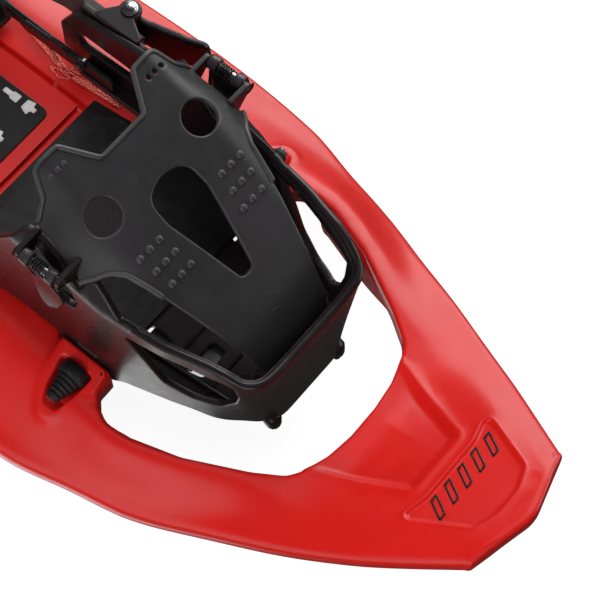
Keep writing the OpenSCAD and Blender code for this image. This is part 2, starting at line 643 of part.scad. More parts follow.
module buckle_spring() {
    wire = 0.6;
    turns = 4;
    color(steel_grey) translate([pin_x, pin_y, buckle_z + 0.3]) rotate_extrude() union() {
        translate([2.7, 0]) square([0.5, wire * turns]);
        for (i = [0 : turns - 1]) translate([3.1, wire * (i + 0.5)]) circle(d = wire, $fn = 16);
    }
}

deck();
deck_side_left();
deck_side_right();
deck_nose();
axle_block_left();
axle_block_right();
centre_strip();
tail_eyelet();
nose_inlay();
info_label();
deck_spikes();
heel_bumpers();
binding_axle();
axle_boot_left();
axle_boot_right();
bar_clips();
climbing_bar();
toe_cage();
cage_arm_left();
cage_arm_right();
cage_floor();
toe_pad();
pivot_bush_left();
pivot_bush_right();
front_crampon();
crampon_rivets();
tongue();
tongue_pin();
latch_lever_left();
latch_lever_right();
latch_pin_left();
latch_pin_right();
latch_spring_left();
latch_spring_right();
heel_frame();
heel_pad();
heel_cup();
heel_rivets();
size_latch_left();
size_latch_right();
size_latch_pins();
ladder_strap();
strap_rivets();
buckle_base();
buckle_lever();
buckle_pin();
buckle_spring();
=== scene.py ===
"""The looks of a moulded snowshoe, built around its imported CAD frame.

Lengths in the script are millimetres in the row frame: +Y to the nose, +X to the wearer's right,
+Z up. They become metres where a mesh is made.
"""
import json
import math

import bpy
import numpy as np
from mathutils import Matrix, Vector
from mathutils.geometry import delaunay_2d_cdt
from mathutils.kdtree import KDTree


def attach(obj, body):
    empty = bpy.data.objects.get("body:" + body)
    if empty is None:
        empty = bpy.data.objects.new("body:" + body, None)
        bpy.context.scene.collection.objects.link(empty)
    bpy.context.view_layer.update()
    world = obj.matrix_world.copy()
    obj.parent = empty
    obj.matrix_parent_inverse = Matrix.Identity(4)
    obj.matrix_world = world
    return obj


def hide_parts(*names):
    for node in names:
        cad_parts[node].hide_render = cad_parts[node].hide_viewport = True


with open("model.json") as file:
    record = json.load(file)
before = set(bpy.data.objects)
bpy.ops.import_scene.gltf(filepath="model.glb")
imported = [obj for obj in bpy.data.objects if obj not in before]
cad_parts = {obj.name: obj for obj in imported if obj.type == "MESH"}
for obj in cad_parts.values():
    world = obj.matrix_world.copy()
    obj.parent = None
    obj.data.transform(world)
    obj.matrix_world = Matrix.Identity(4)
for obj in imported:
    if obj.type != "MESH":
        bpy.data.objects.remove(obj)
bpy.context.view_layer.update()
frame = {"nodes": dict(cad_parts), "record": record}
MM = 0.001


# ---- camera
def direction(azimuth, elevation):
    a, e = math.radians(azimuth), math.radians(elevation)
    return Vector((math.sin(a) * math.cos(e), -math.cos(a) * math.cos(e), math.sin(e)))


CAMERA_ANGLES = (129.64, 66.17)  # azimuth and elevation, degrees
CAMERA_TARGET = (-0.02695, 0.15205, 0.045)  # metres
CAMERA_DISTANCE = 0.94036
CAMERA_LENS = 126


def make_camera():
    data = bpy.data.cameras.new("camera")
    camera = bpy.data.objects.new("camera", data)
    bpy.context.scene.collection.objects.link(camera)
    back = direction(*CAMERA_ANGLES)
    camera.location = Vector(CAMERA_TARGET) + back * CAMERA_DISTANCE
    camera.rotation_mode = "QUATERNION"
    camera.rotation_quaternion = (-back).to_track_quat("-Z", "Y")
    data.sensor_width = 36
    data.lens = CAMERA_LENS
    data.clip_start, data.clip_end = 0.05, 20
    bpy.context.scene.camera = camera


make_camera()


# ---- curves and outlines
def smooth(keys, x):
    """Value at x of a smooth curve through the keys (x, value)."""
    k, x = np.asarray(keys, float), np.asarray(x, float)
    i = np.clip(np.searchsorted(k[:, 0], x, side="right") - 1, 0, len(k) - 2)
    n = np.arange(len(k))
    low, high = np.maximum(n - 1, 0), np.minimum(n + 1, len(k) - 1)
    slope = (k[high, 1] - k[low, 1]) / (k[high, 0] - k[low, 0])
    h = k[i + 1, 0] - k[i, 0]
    t = np.clip((x - k[i, 0]) / h, 0, 1)
    return ((2 * t**3 - 3 * t**2 + 1) * k[i, 1] + (t**3 - 2 * t**2 + t) * slope[i] * h
        + (3 * t**2 - 2 * t**3) * k[i + 1, 1] + (t**3 - t**2) * slope[i + 1] * h)


def ramp(x, a, b):
    """0 at a, 1 at b, with a smooth turn at both."""
    t = np.clip((np.asarray(x, float) - a) / (b - a), 0, 1)
    return t * t * (3 - 2 * t)


def arc(cx, cy, r, a0, a1, n):
    return [(cx + r * math.cos(a), cy + r * math.sin(a)) for a in np.radians(np.linspace(a0, a1,
        n))]


def mirrored(points):
    """The other half of an outline that is the same on both sides of x = 0."""
    return [(-p[0],) + tuple(p[1:]) for p in reversed(points)]


def subdivided(points, step, closed=True):
    out = []
    count = len(points) if closed else len(points) - 1
    for i in range(count):
        a, b = np.array(points[i], float), np.array(points[(i + 1) % len(points)], float)
        parts = max(1, int(math.ceil(np.linalg.norm(b - a) / step)))
        out += [a + (b - a) * k / parts for k in range(parts)]
    if not closed:
        out.append(np.array(points[-1], float))
    return np.array(out)


NEARLY_STRAIGHT = math.radians(87)  # half angle of a corner that isn't worth rounding
ARC_STEP = 0.22  # radians between the points of a rounded corner


def outline(corners, step=2.0, closed=True):
    """Dense points along a path whose corners (x, y) or (x, y, radius) are rounded."""
    n, pts = len(corners), []
    for i, corner in enumerate(corners):
        p = np.array(corner[:2], float)
        r = corner[2] if len(corner) > 2 else 0
        if not closed and i in (0, n - 1):
            pts.append(p)
            continue
        a = np.array(corners[i - 1][:2], float) - p
        b = np.array(corners[(i + 1) % n][:2], float) - p
        la, lb = np.linalg.norm(a), np.linalg.norm(b)
        a, b = a / la, b / lb
        half = math.acos(max(-1, min(1, float(a @ b)))) / 2
        if r <= 0 or half > NEARLY_STRAIGHT:
            pts.append(p)
            continue
        reach = min(r / math.tan(half), 0.48 * la, 0.48 * lb)
        r = reach * math.tan(half)
        centre = p + (a + b) / np.linalg.norm(a + b) * r / math.sin(half)
        start, end = p + a * reach - centre, p + b * reach - centre
        turn = math.pi - 2 * half
        side = 1 if start[0] * end[1] - start[1] * end[0] > 0 else -1
        parts = max(2, int(turn / ARC_STEP))
        for k in range(parts + 1):
            t = side * turn * k / parts
            c, s = math.cos(t), math.sin(t)
            pts.append(centre + np.array([start[0] * c - start[1] * s, start[0] * s
                + start[1] * c]))
    return subdivided(pts, step, closed)


def turns(n):
    """n equal steps round a circle, in radians."""
    return [2 * math.pi * k / n for k in range(n)]


def circle(cx, cy, r, n=40):
    return np.array([(cx + r * math.cos(t), cy + r * math.sin(t)) for t in turns(n)])


def lengths(path):
    """How far along the path each of its points lies."""
    return np.concatenate([[0], np.cumsum(np.linalg.norm(np.diff(path, axis=0), axis=1))])


def headings(path):
    ahead = np.gradient(path, axis=0)
    return ahead / np.linalg.norm(ahead, axis=1)[:, None]


def area(loop):
    x, y = loop[:, 0], loop[:, 1]
    return 0.5 * float(np.sum(x * np.roll(y, -1) - y * np.roll(x, -1)))


def inset(loop, d):
    """The loop moved d towards its left-hand side."""
    forward = np.roll(loop, -1, 0) - loop
    forward /= np.maximum(np.linalg.norm(forward, axis=1), 1e-9)[:, None]
    before = np.roll(forward, 1, 0)
    mean = forward + before
    mean /= np.maximum(np.linalg.norm(mean, axis=1), 1e-9)[:, None]
    stretch = 1 / np.maximum(np.sum(mean * forward, axis=1), 0.6)
    return loop + np.stack([-mean[:, 1], mean[:, 0]], 1) * (d * stretch)[:, None]


def inside(points, loop):
    """Which points lie inside the loop."""
    x, y = points[:, 0][:, None], points[:, 1][:, None]
    ax, ay = loop[:, 0][None], loop[:, 1][None]
    bx, by = np.roll(loop[:, 0], -1)[None], np.roll(loop[:, 1], -1)[None]
    hit = (ay > y) != (by > y)
    with np.errstate(divide="ignore", invalid="ignore"):
        cross = x < (bx - ax) * (y - ay) / (by - ay) + ax
    return (np.sum(hit & cross, axis=1) % 2) == 1


def edge_distance(points, loop):
    """Distance to the loop's line, positive inside."""
    a, b = loop, np.roll(loop, -1, 0)
    d = b - a
    best = np.full(len(points), 1e9)
    for i in range(len(a)):
        t = np.clip(((points - a[i]) @ d[i]) / max(d[i] @ d[i], 1e-12), 0, 1)
        best = np.minimum(best, np.linalg.norm(points - (a[i] + t[:, None] * d[i]), axis=1))
    return np.where(inside(points, loop), best, -best)


# ---- meshes
def make_piece(name, verts, faces, material, body, slot, replaces=()):
    """A smooth shaded mesh piece from points in millimetres."""
    mesh = bpy.data.meshes.new(name)
    mesh.from_pydata((np.asarray(verts, float) * MM).tolist(), [],
        [tuple(int(i) for i in f) for f in faces])
    mesh.validate()
    mesh.polygons.foreach_set("use_smooth", [True] * len(mesh.polygons))
    mesh.materials.append(material)
    piece = bpy.data.objects.new(name, mesh)
    bpy.context.scene.collection.objects.link(piece)
    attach(piece, body)
    if replaces:
        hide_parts(*replaces)
    return piece


def join(parts):
    """Several (verts, faces) as one."""
    verts, faces, start = [], [], 0
    for v, f in parts:
        verts.append(np.asarray(v, float))
        faces += [tuple(i + start for i in face) for face in f]
        start += len(v)
    return np.concatenate(verts), faces


def mirror_x(part):
    v, f = part
    return np.asarray(v, float) * (-1, 1, 1), [tuple(reversed(face)) for face in f]


def pair(part):
    return [part, mirror_x(part)]


def level(z):
    """Lays a plate flat, its top face at height z."""
    return lambda u, v, w: (u, v, w + z)


def upright(x):
    """Stands a plate lengthways: u is y, v is z, and its top face is at x."""
    return lambda u, v, w: (x + w, u, v)


def band_faces(a, b, n):
    """Quads between two rings of n points that start at a and b."""
    return [(a + k, a + (k + 1) % n, b + (k + 1) % n, b + k) for k in range(n)]


def fill(loops, spacing, lines=()):
    """Triangles inside the first loop and outside the others: the extra points and the faces.
    Faces count the loops' own points first, then the extra points."""
    ring = np.concatenate(loops)
    edges, start = [], 0
    for loop in loops:
        edges += [(start + i, start + (i + 1) % len(loop)) for i in range(len(loop))]
        start += len(loop)
    extra = [np.asarray(line, float) for line in lines]
    low, high = ring.min(0), ring.max(0)
    rows = np.arange(low[1], high[1], spacing * 0.87)
    grid = []
    for k, y in enumerate(rows):
        xs = np.arange(low[0] + (k % 2) * spacing / 2, high[0], spacing)
        grid.append(np.stack([xs, np.full(len(xs), y)], 1))
    grid = np.concatenate(grid) if grid else np.zeros((0, 2))
    fixed = np.concatenate([ring] + extra) if extra else ring
    tree = KDTree(len(fixed))
    for i, p in enumerate(fixed):
        tree.insert((p[0], p[1], 0), i)
    tree.balance()

    def nearest(p):
        """Index and distance of the fixed point nearest to p."""
        return tree.find((p[0], p[1], 0))[1:]

    grid = np.array([p for p in grid if nearest(p)[1] > spacing * 0.55]).reshape(-1, 2)
    more = np.concatenate(extra + [grid]) if extra else grid

    def within(points):
        keep = inside(points, loops[0])
        for hole in loops[1:]:
            keep &= ~inside(points, hole)
        return keep

    if len(more):
        more = more[within(more)]
        clear = [nearest(p)[0] >= len(ring) or nearest(p)[1] > 0.25 for p in more]
        more = more[np.array(clear, dtype=bool)]
    points = np.concatenate([ring, more])
    out, _, triangles, origin, _, _ = delaunay_2d_cdt([Vector(p) for p in points], edges, [], 0,
        1e-6)
    index = [o[0] if o else -1 for o in origin]
    flat = np.array([tuple(p) for p in out])
    middle = np.array([flat[list(t)].mean(0) for t in triangles])
    kept = within(middle)
    faces = []
    for t, keep in zip(triangles, kept):
        if not keep or min(index[i] for i in t) < 0:
            continue
        a, b, c = (flat[i] for i in t)
        turn = (b[0] - a[0]) * (c[1] - a[1]) - (b[1] - a[1]) * (c[0] - a[0])
        face = tuple(index[i] for i in t)
        faces.append(face if turn > 0 else face[::-1])
    return more, faces


def round_edge(thick, radius, hold=0.5):
    """Edge profile of a plate: steps (inset, height) from the top face round to the bottom."""
    r = min(radius, thick / 2)
    angles = [math.radians(a) for a in (0, 30, 60, 90)]
    top = [(r + hold, 0)] + [(r * (1 - math.sin(a)), -r * (1 - math.cos(a))) for a in angles]
    return top + [(d, -thick - w) for d, w in reversed(top)]


def plate(outer, holes=(), thick=2.0, radius=0.6, spacing=3.0, place=None, lines=(), profile=None,
        hole_profile=None):
    """A plate with rounded edges. Its points are (u, v, w), w = 0 on the top face and -thick below,
    and place(u, v, w) lays it on a surface. Either way round will do for a loop."""
    profile = profile or round_edge(thick, radius)
    loops = [outer if area(outer) > 0 else outer[::-1]]
    loops += [h[::-1] if area(h) > 0 else h for h in holes]
    verts, faces, tops, lows = [], [], [], []
    for k, loop in enumerate(loops):
        steps = profile if k == 0 else (hole_profile or profile)
        rings = []
        for d, w in steps:
            start = len(verts)
            verts += [(x, y, w) for x, y in inset(loop, d)]
            rings.append(range(start, start + len(loop)))
        n = len(loop)
        for a, b in zip(rings, rings[1:]):
            faces += [(a[i], b[i], b[(i + 1) % n], a[(i + 1) % n]) for i in range(n)]
        tops.append(rings[0])
        lows.append(rings[-1])
    for rings, up in ((tops, True), (lows, False)):
        flat = [np.array([verts[i][:2] for i in ring]) for ring in rings]
        w = verts[rings[0][0]][2]
        more, triangles = fill(flat, spacing, lines if up else ())
        index = [i for ring in rings for i in ring] + list(range(len(verts), len(verts)
            + len(more)))
        verts += [(x, y, w) for x, y in more]
        faces += [tuple(index[i] for i in (t if up else t[::-1])) for t in triangles]
    verts = np.array(verts, float)
    if place is not None:
        verts = np.stack(place(verts[:, 0], verts[:, 1], verts[:, 2]), 1)
    return verts, faces


def tube(path, radius, sides=12, closed=False):
    """A round bar along a path, with round ends. radius is a number or one per point."""
    path = np.asarray(path, float)
    n = len(path)
    radii = np.full(n, radius, float) if np.isscalar(radius) else np.asarray(radius, float)
    if closed:
        tangent = np.roll(path, -1, 0) - np.roll(path, 1, 0)
    else:
        tangent = np.gradient(path, axis=0)
    tangent /= np.linalg.norm(tangent, axis=1)[:, None]
    up = np.array([0, 0, 1.0]) if abs(tangent[0][2]) < 0.9 else np.array([1.0, 0, 0])
    if not closed:
        caps = [math.radians(a) for a in (75, 50, 25)]
        head = [(path[0] - tangent[0] * radii[0] * math.sin(a), tangent[0], radii[0] * math.cos(a))
            for a in caps]
        tail = [(path[-1] + tangent[-1] * radii[-1] * math.sin(a), tangent[-1],
            radii[-1] * math.cos(a)) for a in reversed(caps)]
        path = np.array([h[0] for h in head] + list(path) + [t[0] for t in tail])
        tangent = np.array([h[1] for h in head] + list(tangent) + [t[1] for t in tail])
        radii = np.array([h[2] for h in head] + list(radii) + [t[2] for t in tail])
        n = len(path)
    verts = []
    for p, t, r in zip(path, tangent, radii):
        side = np.cross(t, up)
        side /= np.linalg.norm(side)
        up = np.cross(side, t)
        verts += [p + r * (math.cos(a) * side + math.sin(a) * up) for a in turns(sides)]
    faces = []
    for i in range(n if closed else n - 1):
        faces += band_faces(i * sides, ((i + 1) % n) * sides, sides)
    if not closed:
        faces += [tuple(reversed(range(sides))), tuple(range((n - 1) * sides, n * sides))]
    return np.array(verts), faces


def lathe(profile, place, sides=40):
    """A turned shape: the profile is (radius, height) from one end to the other; place(x, y, z)
    puts it where it belongs."""
    verts, rings, faces = [], [], []
    for r, h in profile:
        rings.append(len(verts))
        verts += [(r * math.cos(a), r * math.sin(a), h) for a in turns(sides)]
    for a, b in zip(rings, rings[1:]):
        faces += band_faces(a, b, sides)
    if profile[0][0] > 0:
        faces.append(tuple(reversed(range(rings[0], rings[0] + sides))))
    if profile[-1][0] > 0:
        faces.append(tuple(range(rings[-1], rings[-1] + sides)))
    v = np.array(verts)
    return np.stack(place(v[:, 0], v[:, 1], v[:, 2]), 1), faces


def sleeve(bore, radius, low, high, ease=0.4):
    """Profile of a bored barrel whose outer edges are eased."""
    return [(bore, low), (radius - ease, low), (radius, low + 0.4), (radius, high - 0.4),
        (radius - ease, high), (bore, high), (bore, low)]


def dome(centre, normal, radius, height, sides=14):
    """A low round stud standing on a surface."""
    n = np.asarray(normal, float) / np.linalg.norm(normal)
    a = np.cross(n, (0, 1, 0.3))
    a /= np.linalg.norm(a)
    b = np.cross(n, a)
    steps = [(1.12, -0.5), (1.06, 0.0), (0.96, 0.35), (0.8, 0.68), (0.5, 0.92), (0.2, 1.0)]
    c = np.asarray(centre, float)
    verts = [c + radius * s * (math.cos(t) * a + math.sin(t) * b) + n * height * h for s, h in steps
        for t in turns(sides)]
    last = (len(steps) - 1) * sides
    faces = [face for a in range(0, last, sides) for face in band_faces(a, a + sides, sides)]
    faces.append(tuple(range(last, last + sides)))
    faces.append(tuple(reversed(range(sides))))
    return np.array(verts), faces


# ---- materials
class Nodes:
    """Short names for building a node material."""

    def __init__(self, name):
        self.material = bpy.data.materials.new(name)
        self.material.use_nodes = True
        self.tree = self.material.node_tree
        self.shader = self.tree.nodes["Principled BSDF"]
        self.place = self.tree.nodes.new("ShaderNodeTexCoord").outputs["Object"]

    def add(self, kind, links=(), **values):
        node = self.tree.nodes.new(kind)
        for key, value in values.items():
            if key in node.inputs:
                node.inputs[key].default_value = value
            else:
                setattr(node, key, value)
        for key, source in dict(links).items():
            self.tree.links.new(source, node.inputs[key])
        return node

    def stretched(self, scale):
        return self.add("ShaderNodeMapping", {"Vector": self.place}, Scale=scale).outputs["Vector"]

    def noise(self, scale, detail=3.0, rough=0.5, vector=None):
        node = self.add("ShaderNodeTexNoise", {"Vector": vector or self.place}, Scale=scale,
            Detail=detail, Roughness=rough)
        return node.outputs["Fac"]

    def ramp(self, source, low, high, first, last):
        node = self.add("ShaderNodeValToRGB", {"Fac": source})
        node.color_ramp.elements[0].position, node.color_ramp.elements[1].position = low, high
        node.color_ramp.elements[0].color, node.color_ramp.elements[1].color = first, last
        return node.outputs["Color"]

    def scaled(self, source, low, high, new_low, new_high):
        node = self.add("ShaderNodeMapRange", {"Value": source})
        for key, value in (("From Min", low), ("From Max", high), ("To Min", new_low),
                ("To Max", new_high)):
            node.inputs[key].default_value = value
        return node.outputs["Result"]

    def varied(self, scale, detail, low, high):
        """A value that drifts between low and high over the surface."""
        return self.scaled(self.noise(scale, detail), 0.3, 0.7, low, high)

    def maths(self, kind, a, b):
        node = self.add("ShaderNodeMath", operation=kind)
        for i, value in enumerate((a, b)):
            if isinstance(value, (int, float)):
                node.inputs[i].default_value = value
            else:
                self.tree.links.new(value, node.inputs[i])
        return node.outputs["Value"]

    def mix(self, factor, a, b):
        node = self.add("ShaderNodeMix", {"Factor": factor}, data_type="RGBA")
        for socket, value in ((node.inputs[6], a), (node.inputs[7], b)):
            if isinstance(value, tuple):
                socket.default_value = value
            else:
                self.tree.links.new(value, socket)
        return node.outputs[2]

    def bump(self, height, strength, distance, normal=None):
        links = {"Height": height}
        if normal is not None:
            links["Normal"] = normal
        return self.add("ShaderNodeBump", links, Strength=strength,
            Distance=distance).outputs["Normal"]

    def finish(self, colour, roughness, normal, **fixed):
        link = self.tree.links.new
        link(colour, self.shader.inputs["Base Color"])
        link(roughness, self.shader.inputs["Roughness"])
        link(normal, self.shader.inputs["Normal"])
        for key, value in fixed.items():
            self.shader.inputs[key.replace("_", " ")].default_value = value
        return self.material


def rgba(r, g, b):
    return (r, g, b, 1.0)


def moulded(name, light, dark, rough=(0.25, 0.4), grain=0.0003, grain_scale=2600, scuff=0.12,
        coat=0.0, edge=None, **fixed):
    """Moulded plastic: cloudy colour, fine grain, faint flow lines and scuffs that dull it."""
    n = Nodes(name)
    cloud = n.noise(22, 4)
    base = n.ramp(cloud, 0.3, 0.7, dark, light)
    speck = n.noise(900, 2)
    base = n.mix(n.scaled(speck, 0.62, 0.78, 0, 0.05), base, rgba(*[min(1, c * 1.6 + 0.01)
        for c in light[:3]]))
    scratch = n.noise(60, 5, 0.65, n.stretched((1, 14, 5)))
    scratch = n.scaled(scratch, 0.62, 0.72, 0, 1)
    if edge:
        worn = n.add("ShaderNodeNewGeometry").outputs["Pointiness"]
        worn = n.scaled(worn, 0.515, 0.58, 0, 0.55)
        base = n.mix(worn, base, edge)
    dull = n.varied(140, 3, *rough)
    dull = n.maths("ADD", dull, n.maths("MULTIPLY", scratch, scuff))
    normal = n.bump(n.noise(grain_scale, 2), 0.35, grain)
    normal = n.bump(n.noise(35, 2), 0.25, 0.0006, normal)
    normal = n.bump(scratch, 0.12, 0.0001, normal)
    return n.finish(base, dull, normal, Coat_Weight=coat, Coat_Roughness=0.12, **fixed)


def rubbery(name, light, dark):
    n = Nodes(name)
    base = n.ramp(n.noise(60, 4), 0.3, 0.75, dark, light)
    dust = n.scaled(n.noise(400, 5, 0.7), 0.58, 0.75, 0, 0.35)
    base = n.mix(dust, base, rgba(0.12, 0.115, 0.11))
    normal = n.bump(n.noise(3400, 3), 0.5, 0.0002)
    return n.finish(base, n.varied(200, 3, 0.5, 0.75), normal)


def steel(name, light, dark, rough=(0.2, 0.4)):
    n = Nodes(name)
    brushed = n.noise(300, 3, 0.6, n.stretched((1, 1, 18)))
    base = n.ramp(brushed, 0.3, 0.7, dark, light)
    stain = n.scaled(n.noise(90, 4), 0.5, 0.8, 0, 0.3)
    base = n.mix(stain, base, rgba(0.22, 0.2, 0.18))
    normal = n.bump(brushed, 0.3, 0.0001)
    return n.finish(base, n.scaled(brushed, 0.3, 0.7, rough[0], rough[1]), normal, Metallic=1.0)


def grainy_red(name):
    """The raised relief on the deck: the same plastic with a coarse sparkling grain."""
    n = Nodes(name)
    grains = n.add("ShaderNodeTexVoronoi", {"Vector": n.place}, Scale=1150.0)
    base = n.ramp(grains.outputs["Distance"], 0.1, 0.7, rgba(0.86, 0.15, 0.1),
        rgba(0.62, 0.035, 0.02))
    normal = n.bump(grains.outputs["Distance"], 0.9, 0.0006)
    return n.finish(base, n.varied(300, 3, 0.4, 0.6), normal)


def ink(name, light, dark):
    n = Nodes(name)
    base = n.ramp(n.noise(300, 4), 0.3, 0.7, dark, light)
    normal = n.bump(n.noise(1800, 2), 0.2, 0.0001)
    return n.finish(base, n.varied(120, 3, 0.28, 0.42), normal)


RED = moulded("deck_red", rgba(0.56, 0.010, 0.008), rgba(0.51, 0.008, 0.006), rough=(0.30, 0.38),
    scuff=0.03, grain=0.00006, coat=0.05, Specular_IOR_Level=0.42)
RED_INNER = moulded("deck_inner", rgba(0.50, 0.008, 0.008), rgba(0.44, 0.006, 0.006),
    rough=(0.5, 0.6), scuff=0.02, grain=0.00006, Specular_IOR_Level=0.08)
RELIEF = grainy_red("deck_relief")
CAGE = moulded("cage_black", rgba(0.012, 0.008, 0.009), rgba(0.008, 0.005, 0.006),
    rough=(0.26, 0.34), scuff=0.04, coat=0.1, edge=rgba(0.045, 0.04, 0.042),
    Specular_IOR_Level=0.42)
TONGUE = moulded("tongue_grey", rgba(0.028, 0.026, 0.028), rgba(0.018, 0.017, 0.018),
    rough=(0.30, 0.42), scuff=0.08, edge=rgba(0.09, 0.085, 0.09), Specular_IOR_Level=0.4)
LIP = moulded("tongue_lip", rgba(0.050, 0.048, 0.050), rgba(0.028, 0.027, 0.029), rough=(0.3, 0.45),
    edge=rgba(0.14, 0.135, 0.14))
FRAME = moulded("frame_black", rgba(0.012, 0.011, 0.012), rgba(0.007, 0.006, 0.007),
    rough=(0.34, 0.5), edge=rgba(0.06, 0.058, 0.06), Specular_IOR_Level=0.42)
RUBBER = rubbery("rubber_black", rgba(0.012, 0.012, 0.013), rgba(0.007, 0.007, 0.008))
CLAW = steel("claw_steel", rgba(0.42, 0.43, 0.45), rgba(0.30, 0.31, 0.33), rough=(0.3, 0.5))
PIN = steel("pin_steel", rgba(0.55, 0.56, 0.58), rgba(0.38, 0.39, 0.41))
PRINT = ink("print_black", rgba(0.012, 0.011, 0.011), rgba(0.007, 0.006, 0.006))
WHITE = ink("print_white", rgba(0.62, 0.60, 0.60), rgba(0.5, 0.48, 0.48))

SLOT_MATERIAL = {"deck_red": RED, "cage_black": CAGE, "tongue_grey": TONGUE, "frame_black": FRAME,
    "pad_rubber": RUBBER, "print_black": PRINT, "claw_steel": CLAW, "pin_steel": PIN}


def dress_cad_nodes():
    """Every CAD node that stays gets the material of its slot."""
    for row in frame["record"]["subparts"]:
        node = frame["nodes"][row["node"]]
        node.data.materials.clear()
        node.data.materials.append(SLOT_MATERIAL[row["material_slot"]])


dress_cad_nodes()


# ---- deck
HALF_LEN = 300.0
CORNER_Y = 291.0
WIDTH = [(-300, 36), (-290, 52), (-265, 66), (-220, 80), (-140, 96), (-40, 108), (35, 111),
    (93, 107.6), (123, 100.5), (153, 93.5), (183, 82.3), (213, 70.5), (243, 56.9), (258, 49.4),
    (CORNER_Y, 31)]
EDGE = [(-300, 36), (-250, 27), (-190, 24), (145, 24), (168, 27.5), (198, 37), (228, 46.5),
    (258, 61), (300, 86)]
MIDDLE = [(-300, 49), (-230, 46), (205, 46), (228, 51), (258, 67), (300, 87)]
FLAT = [(-300, 18), (-230, 52), (-150, 58), (60, 62), (112, 72), (134, 74), (159, 66), (186, 52),
    (210, 44), (258, 30), (300, 14)]
AXLE_Y, AXLE_Z = 98.0, 45.0
OPEN_REAR, BLOCK_REAR, BLOCK_FRONT = 80.0, 84.0, 112.0
DECK_THICK = 4.5


def half_width(y):
    y = np.asarray(y, float)
    tip = 31 - 26 * (y - CORNER_Y) / (HALF_LEN - CORNER_Y)
    return np.where(y > CORNER_Y, tip, smooth(WIDTH, np.minimum(y, CORNER_Y)))


def deck_base(x, y):
    """The plain top of the deck, before its details."""
    w = half_width(y)
    flat = np.minimum(smooth(FLAT, y), w - 4)
    edge, middle = smooth(EDGE, y), smooth(MIDDLE, y)
    return edge + (middle - edge) * ramp(w - np.abs(x), 0, w - flat)


PAN_HALF = [(15.6, 249.5, 3), (30.6, 209), (34, 196)]
PAN = outline(mirrored(PAN_HALF) + PAN_HALF, 2)
BADGE = outline([(-31.4, 252.0, 3), (-16.0, 256.2, 14), (16.0, 256.2, 14), (31.4, 252.0, 3),
    (17.5, 282.0, 5), (7.0, 286.0, 8), (-7.0, 286.0, 8), (-17.5, 282.0, 5)], 1.5)
TROUGH = outline([(61, 89.2, 1.5), (61, 106.8, 1.5), (74, 104.6, 3), (82.5, 101.5, 3),
    (82.5, 94.5, 3), (74, 91.4, 3)], 1.5)
BLOCK = outline([(40, BLOCK_REAR - 1, 0), (58, BLOCK_REAR - 1, 0), (76, BLOCK_REAR + 2, 4),
    (88, AXLE_Y - 4, 6), (88, AXLE_Y + 4, 6), (76, BLOCK_FRONT - 2, 5),
    (64.5, BLOCK_FRONT + 0.6, 1), (40, BLOCK_FRONT + 0.6, 0)], 2)
GROOVE = outline([(36.4, -150, 1), (39.4, -150, 1), (39.4, 16, 1), (36.4, 16, 1)], 4)


def signed(x, y, loop):
    return edge_distance(np.stack([x, y], 1), loop)


def deck_details(x, y):
    """What the moulded details add to the plain top."""
    side = np.abs(x)
    dz = np.zeros_like(x)
    front = y > 190
    if front.any():
        s = signed(x[front], y[front], PAN)
        fade = ramp(y[front], 203, 222)
        crease = np.clip(1 - np.abs(x[front] + 5.8) / 22, 0, 1) * ramp(y[front], 262, 226)
        dz[front] -= (0.6 + 2.9 * fade) * ramp(s, -0.3, 3.2)
        dz[front] += 1.5 * crease * ramp(s, 0.5, 5)
        dz[front] += 0.8 * np.exp(-((s + 1.3) / 1.1) ** 2)
        b = signed(x[front], y[front], BADGE)
        dz[front] += 0.75 * np.exp(-((b + 0.4) / 0.75) ** 2) - 1.1 * ramp(b, 0.2, 1.6)
    near = (y > 70) & (y < 126) & (side > 50) & (side < 96)
    if near.any():
        s = signed(side[near], y[near], BLOCK)
        block_top = 50.5 - (side[near] - 58) * 0.42
        lift = np.maximum(block_top - deck_base(side[near], y[near]), 0)
        dz[near] += lift * ramp(s, -1.5, 2.5)
        t = signed(side[near], y[near], TROUGH)
        floor = AXLE_Z - 8.5 + (side[near] - 61) * 0.16
        top = deck_base(side[near], y[near]) + dz[near]
        dz[near] += np.minimum(floor - top, 0) * ramp(t, -0.4, 1.2)
    g = signed(side, y, GROOVE)
    dz -= 2.4 * ramp(g, -0.5, 0.9)
    return dz


def deck_top(x, y):
    x, y = np.atleast_1d(np.asarray(x, float)), np.atleast_1d(np.asarray(y, float))
    return deck_base(x, y) + deck_details(x, y)


def deck_outline():
    ys = np.concatenate([np.arange(-298, CORNER_Y - 4, 4.0), [CORNER_Y - 2.2]])
    right = [(float(half_width(y)), y) for y in ys]
    left = mirrored(right)
    tail = outline([left[-1], (-30, -HALF_LEN, 3), (30, -HALF_LEN, 3), right[0]], 4, closed=False)
    half_nose = [right[-1], (31.5, CORNER_Y, 10), (2.5, 299.2, 16)]
    nose = outline(half_nose + mirrored(half_nose), 2, closed=False)
    return np.array(right + list(nose)[1:-1] + left + list(tail)[1:-1])


def opening_outline():
    half = [(54.6, OPEN_REAR, 3), (54.8, BLOCK_FRONT + 0.4, 0.8), (63.6, BLOCK_FRONT + 0.6, 1.5),
        (68.5, 117.2, 6), (71.8, 124, 9), (70.6, 136, 14), (63.4, 159, 24), (49.2, 187, 30),
        (40.5, 200.4, 10), (35.2, 203.8, 4), (22, 208.2, 16), (8, 210.1, 16)]
    return outline(half + mirrored(half), 1.6)


def offset_lines(loop, distances):
    loop = loop if area(loop) > 0 else loop[::-1]
    return [inset(loop, d) for d in distances]


def flipped(loop):
    return (loop * (-1, 1))[::-1]


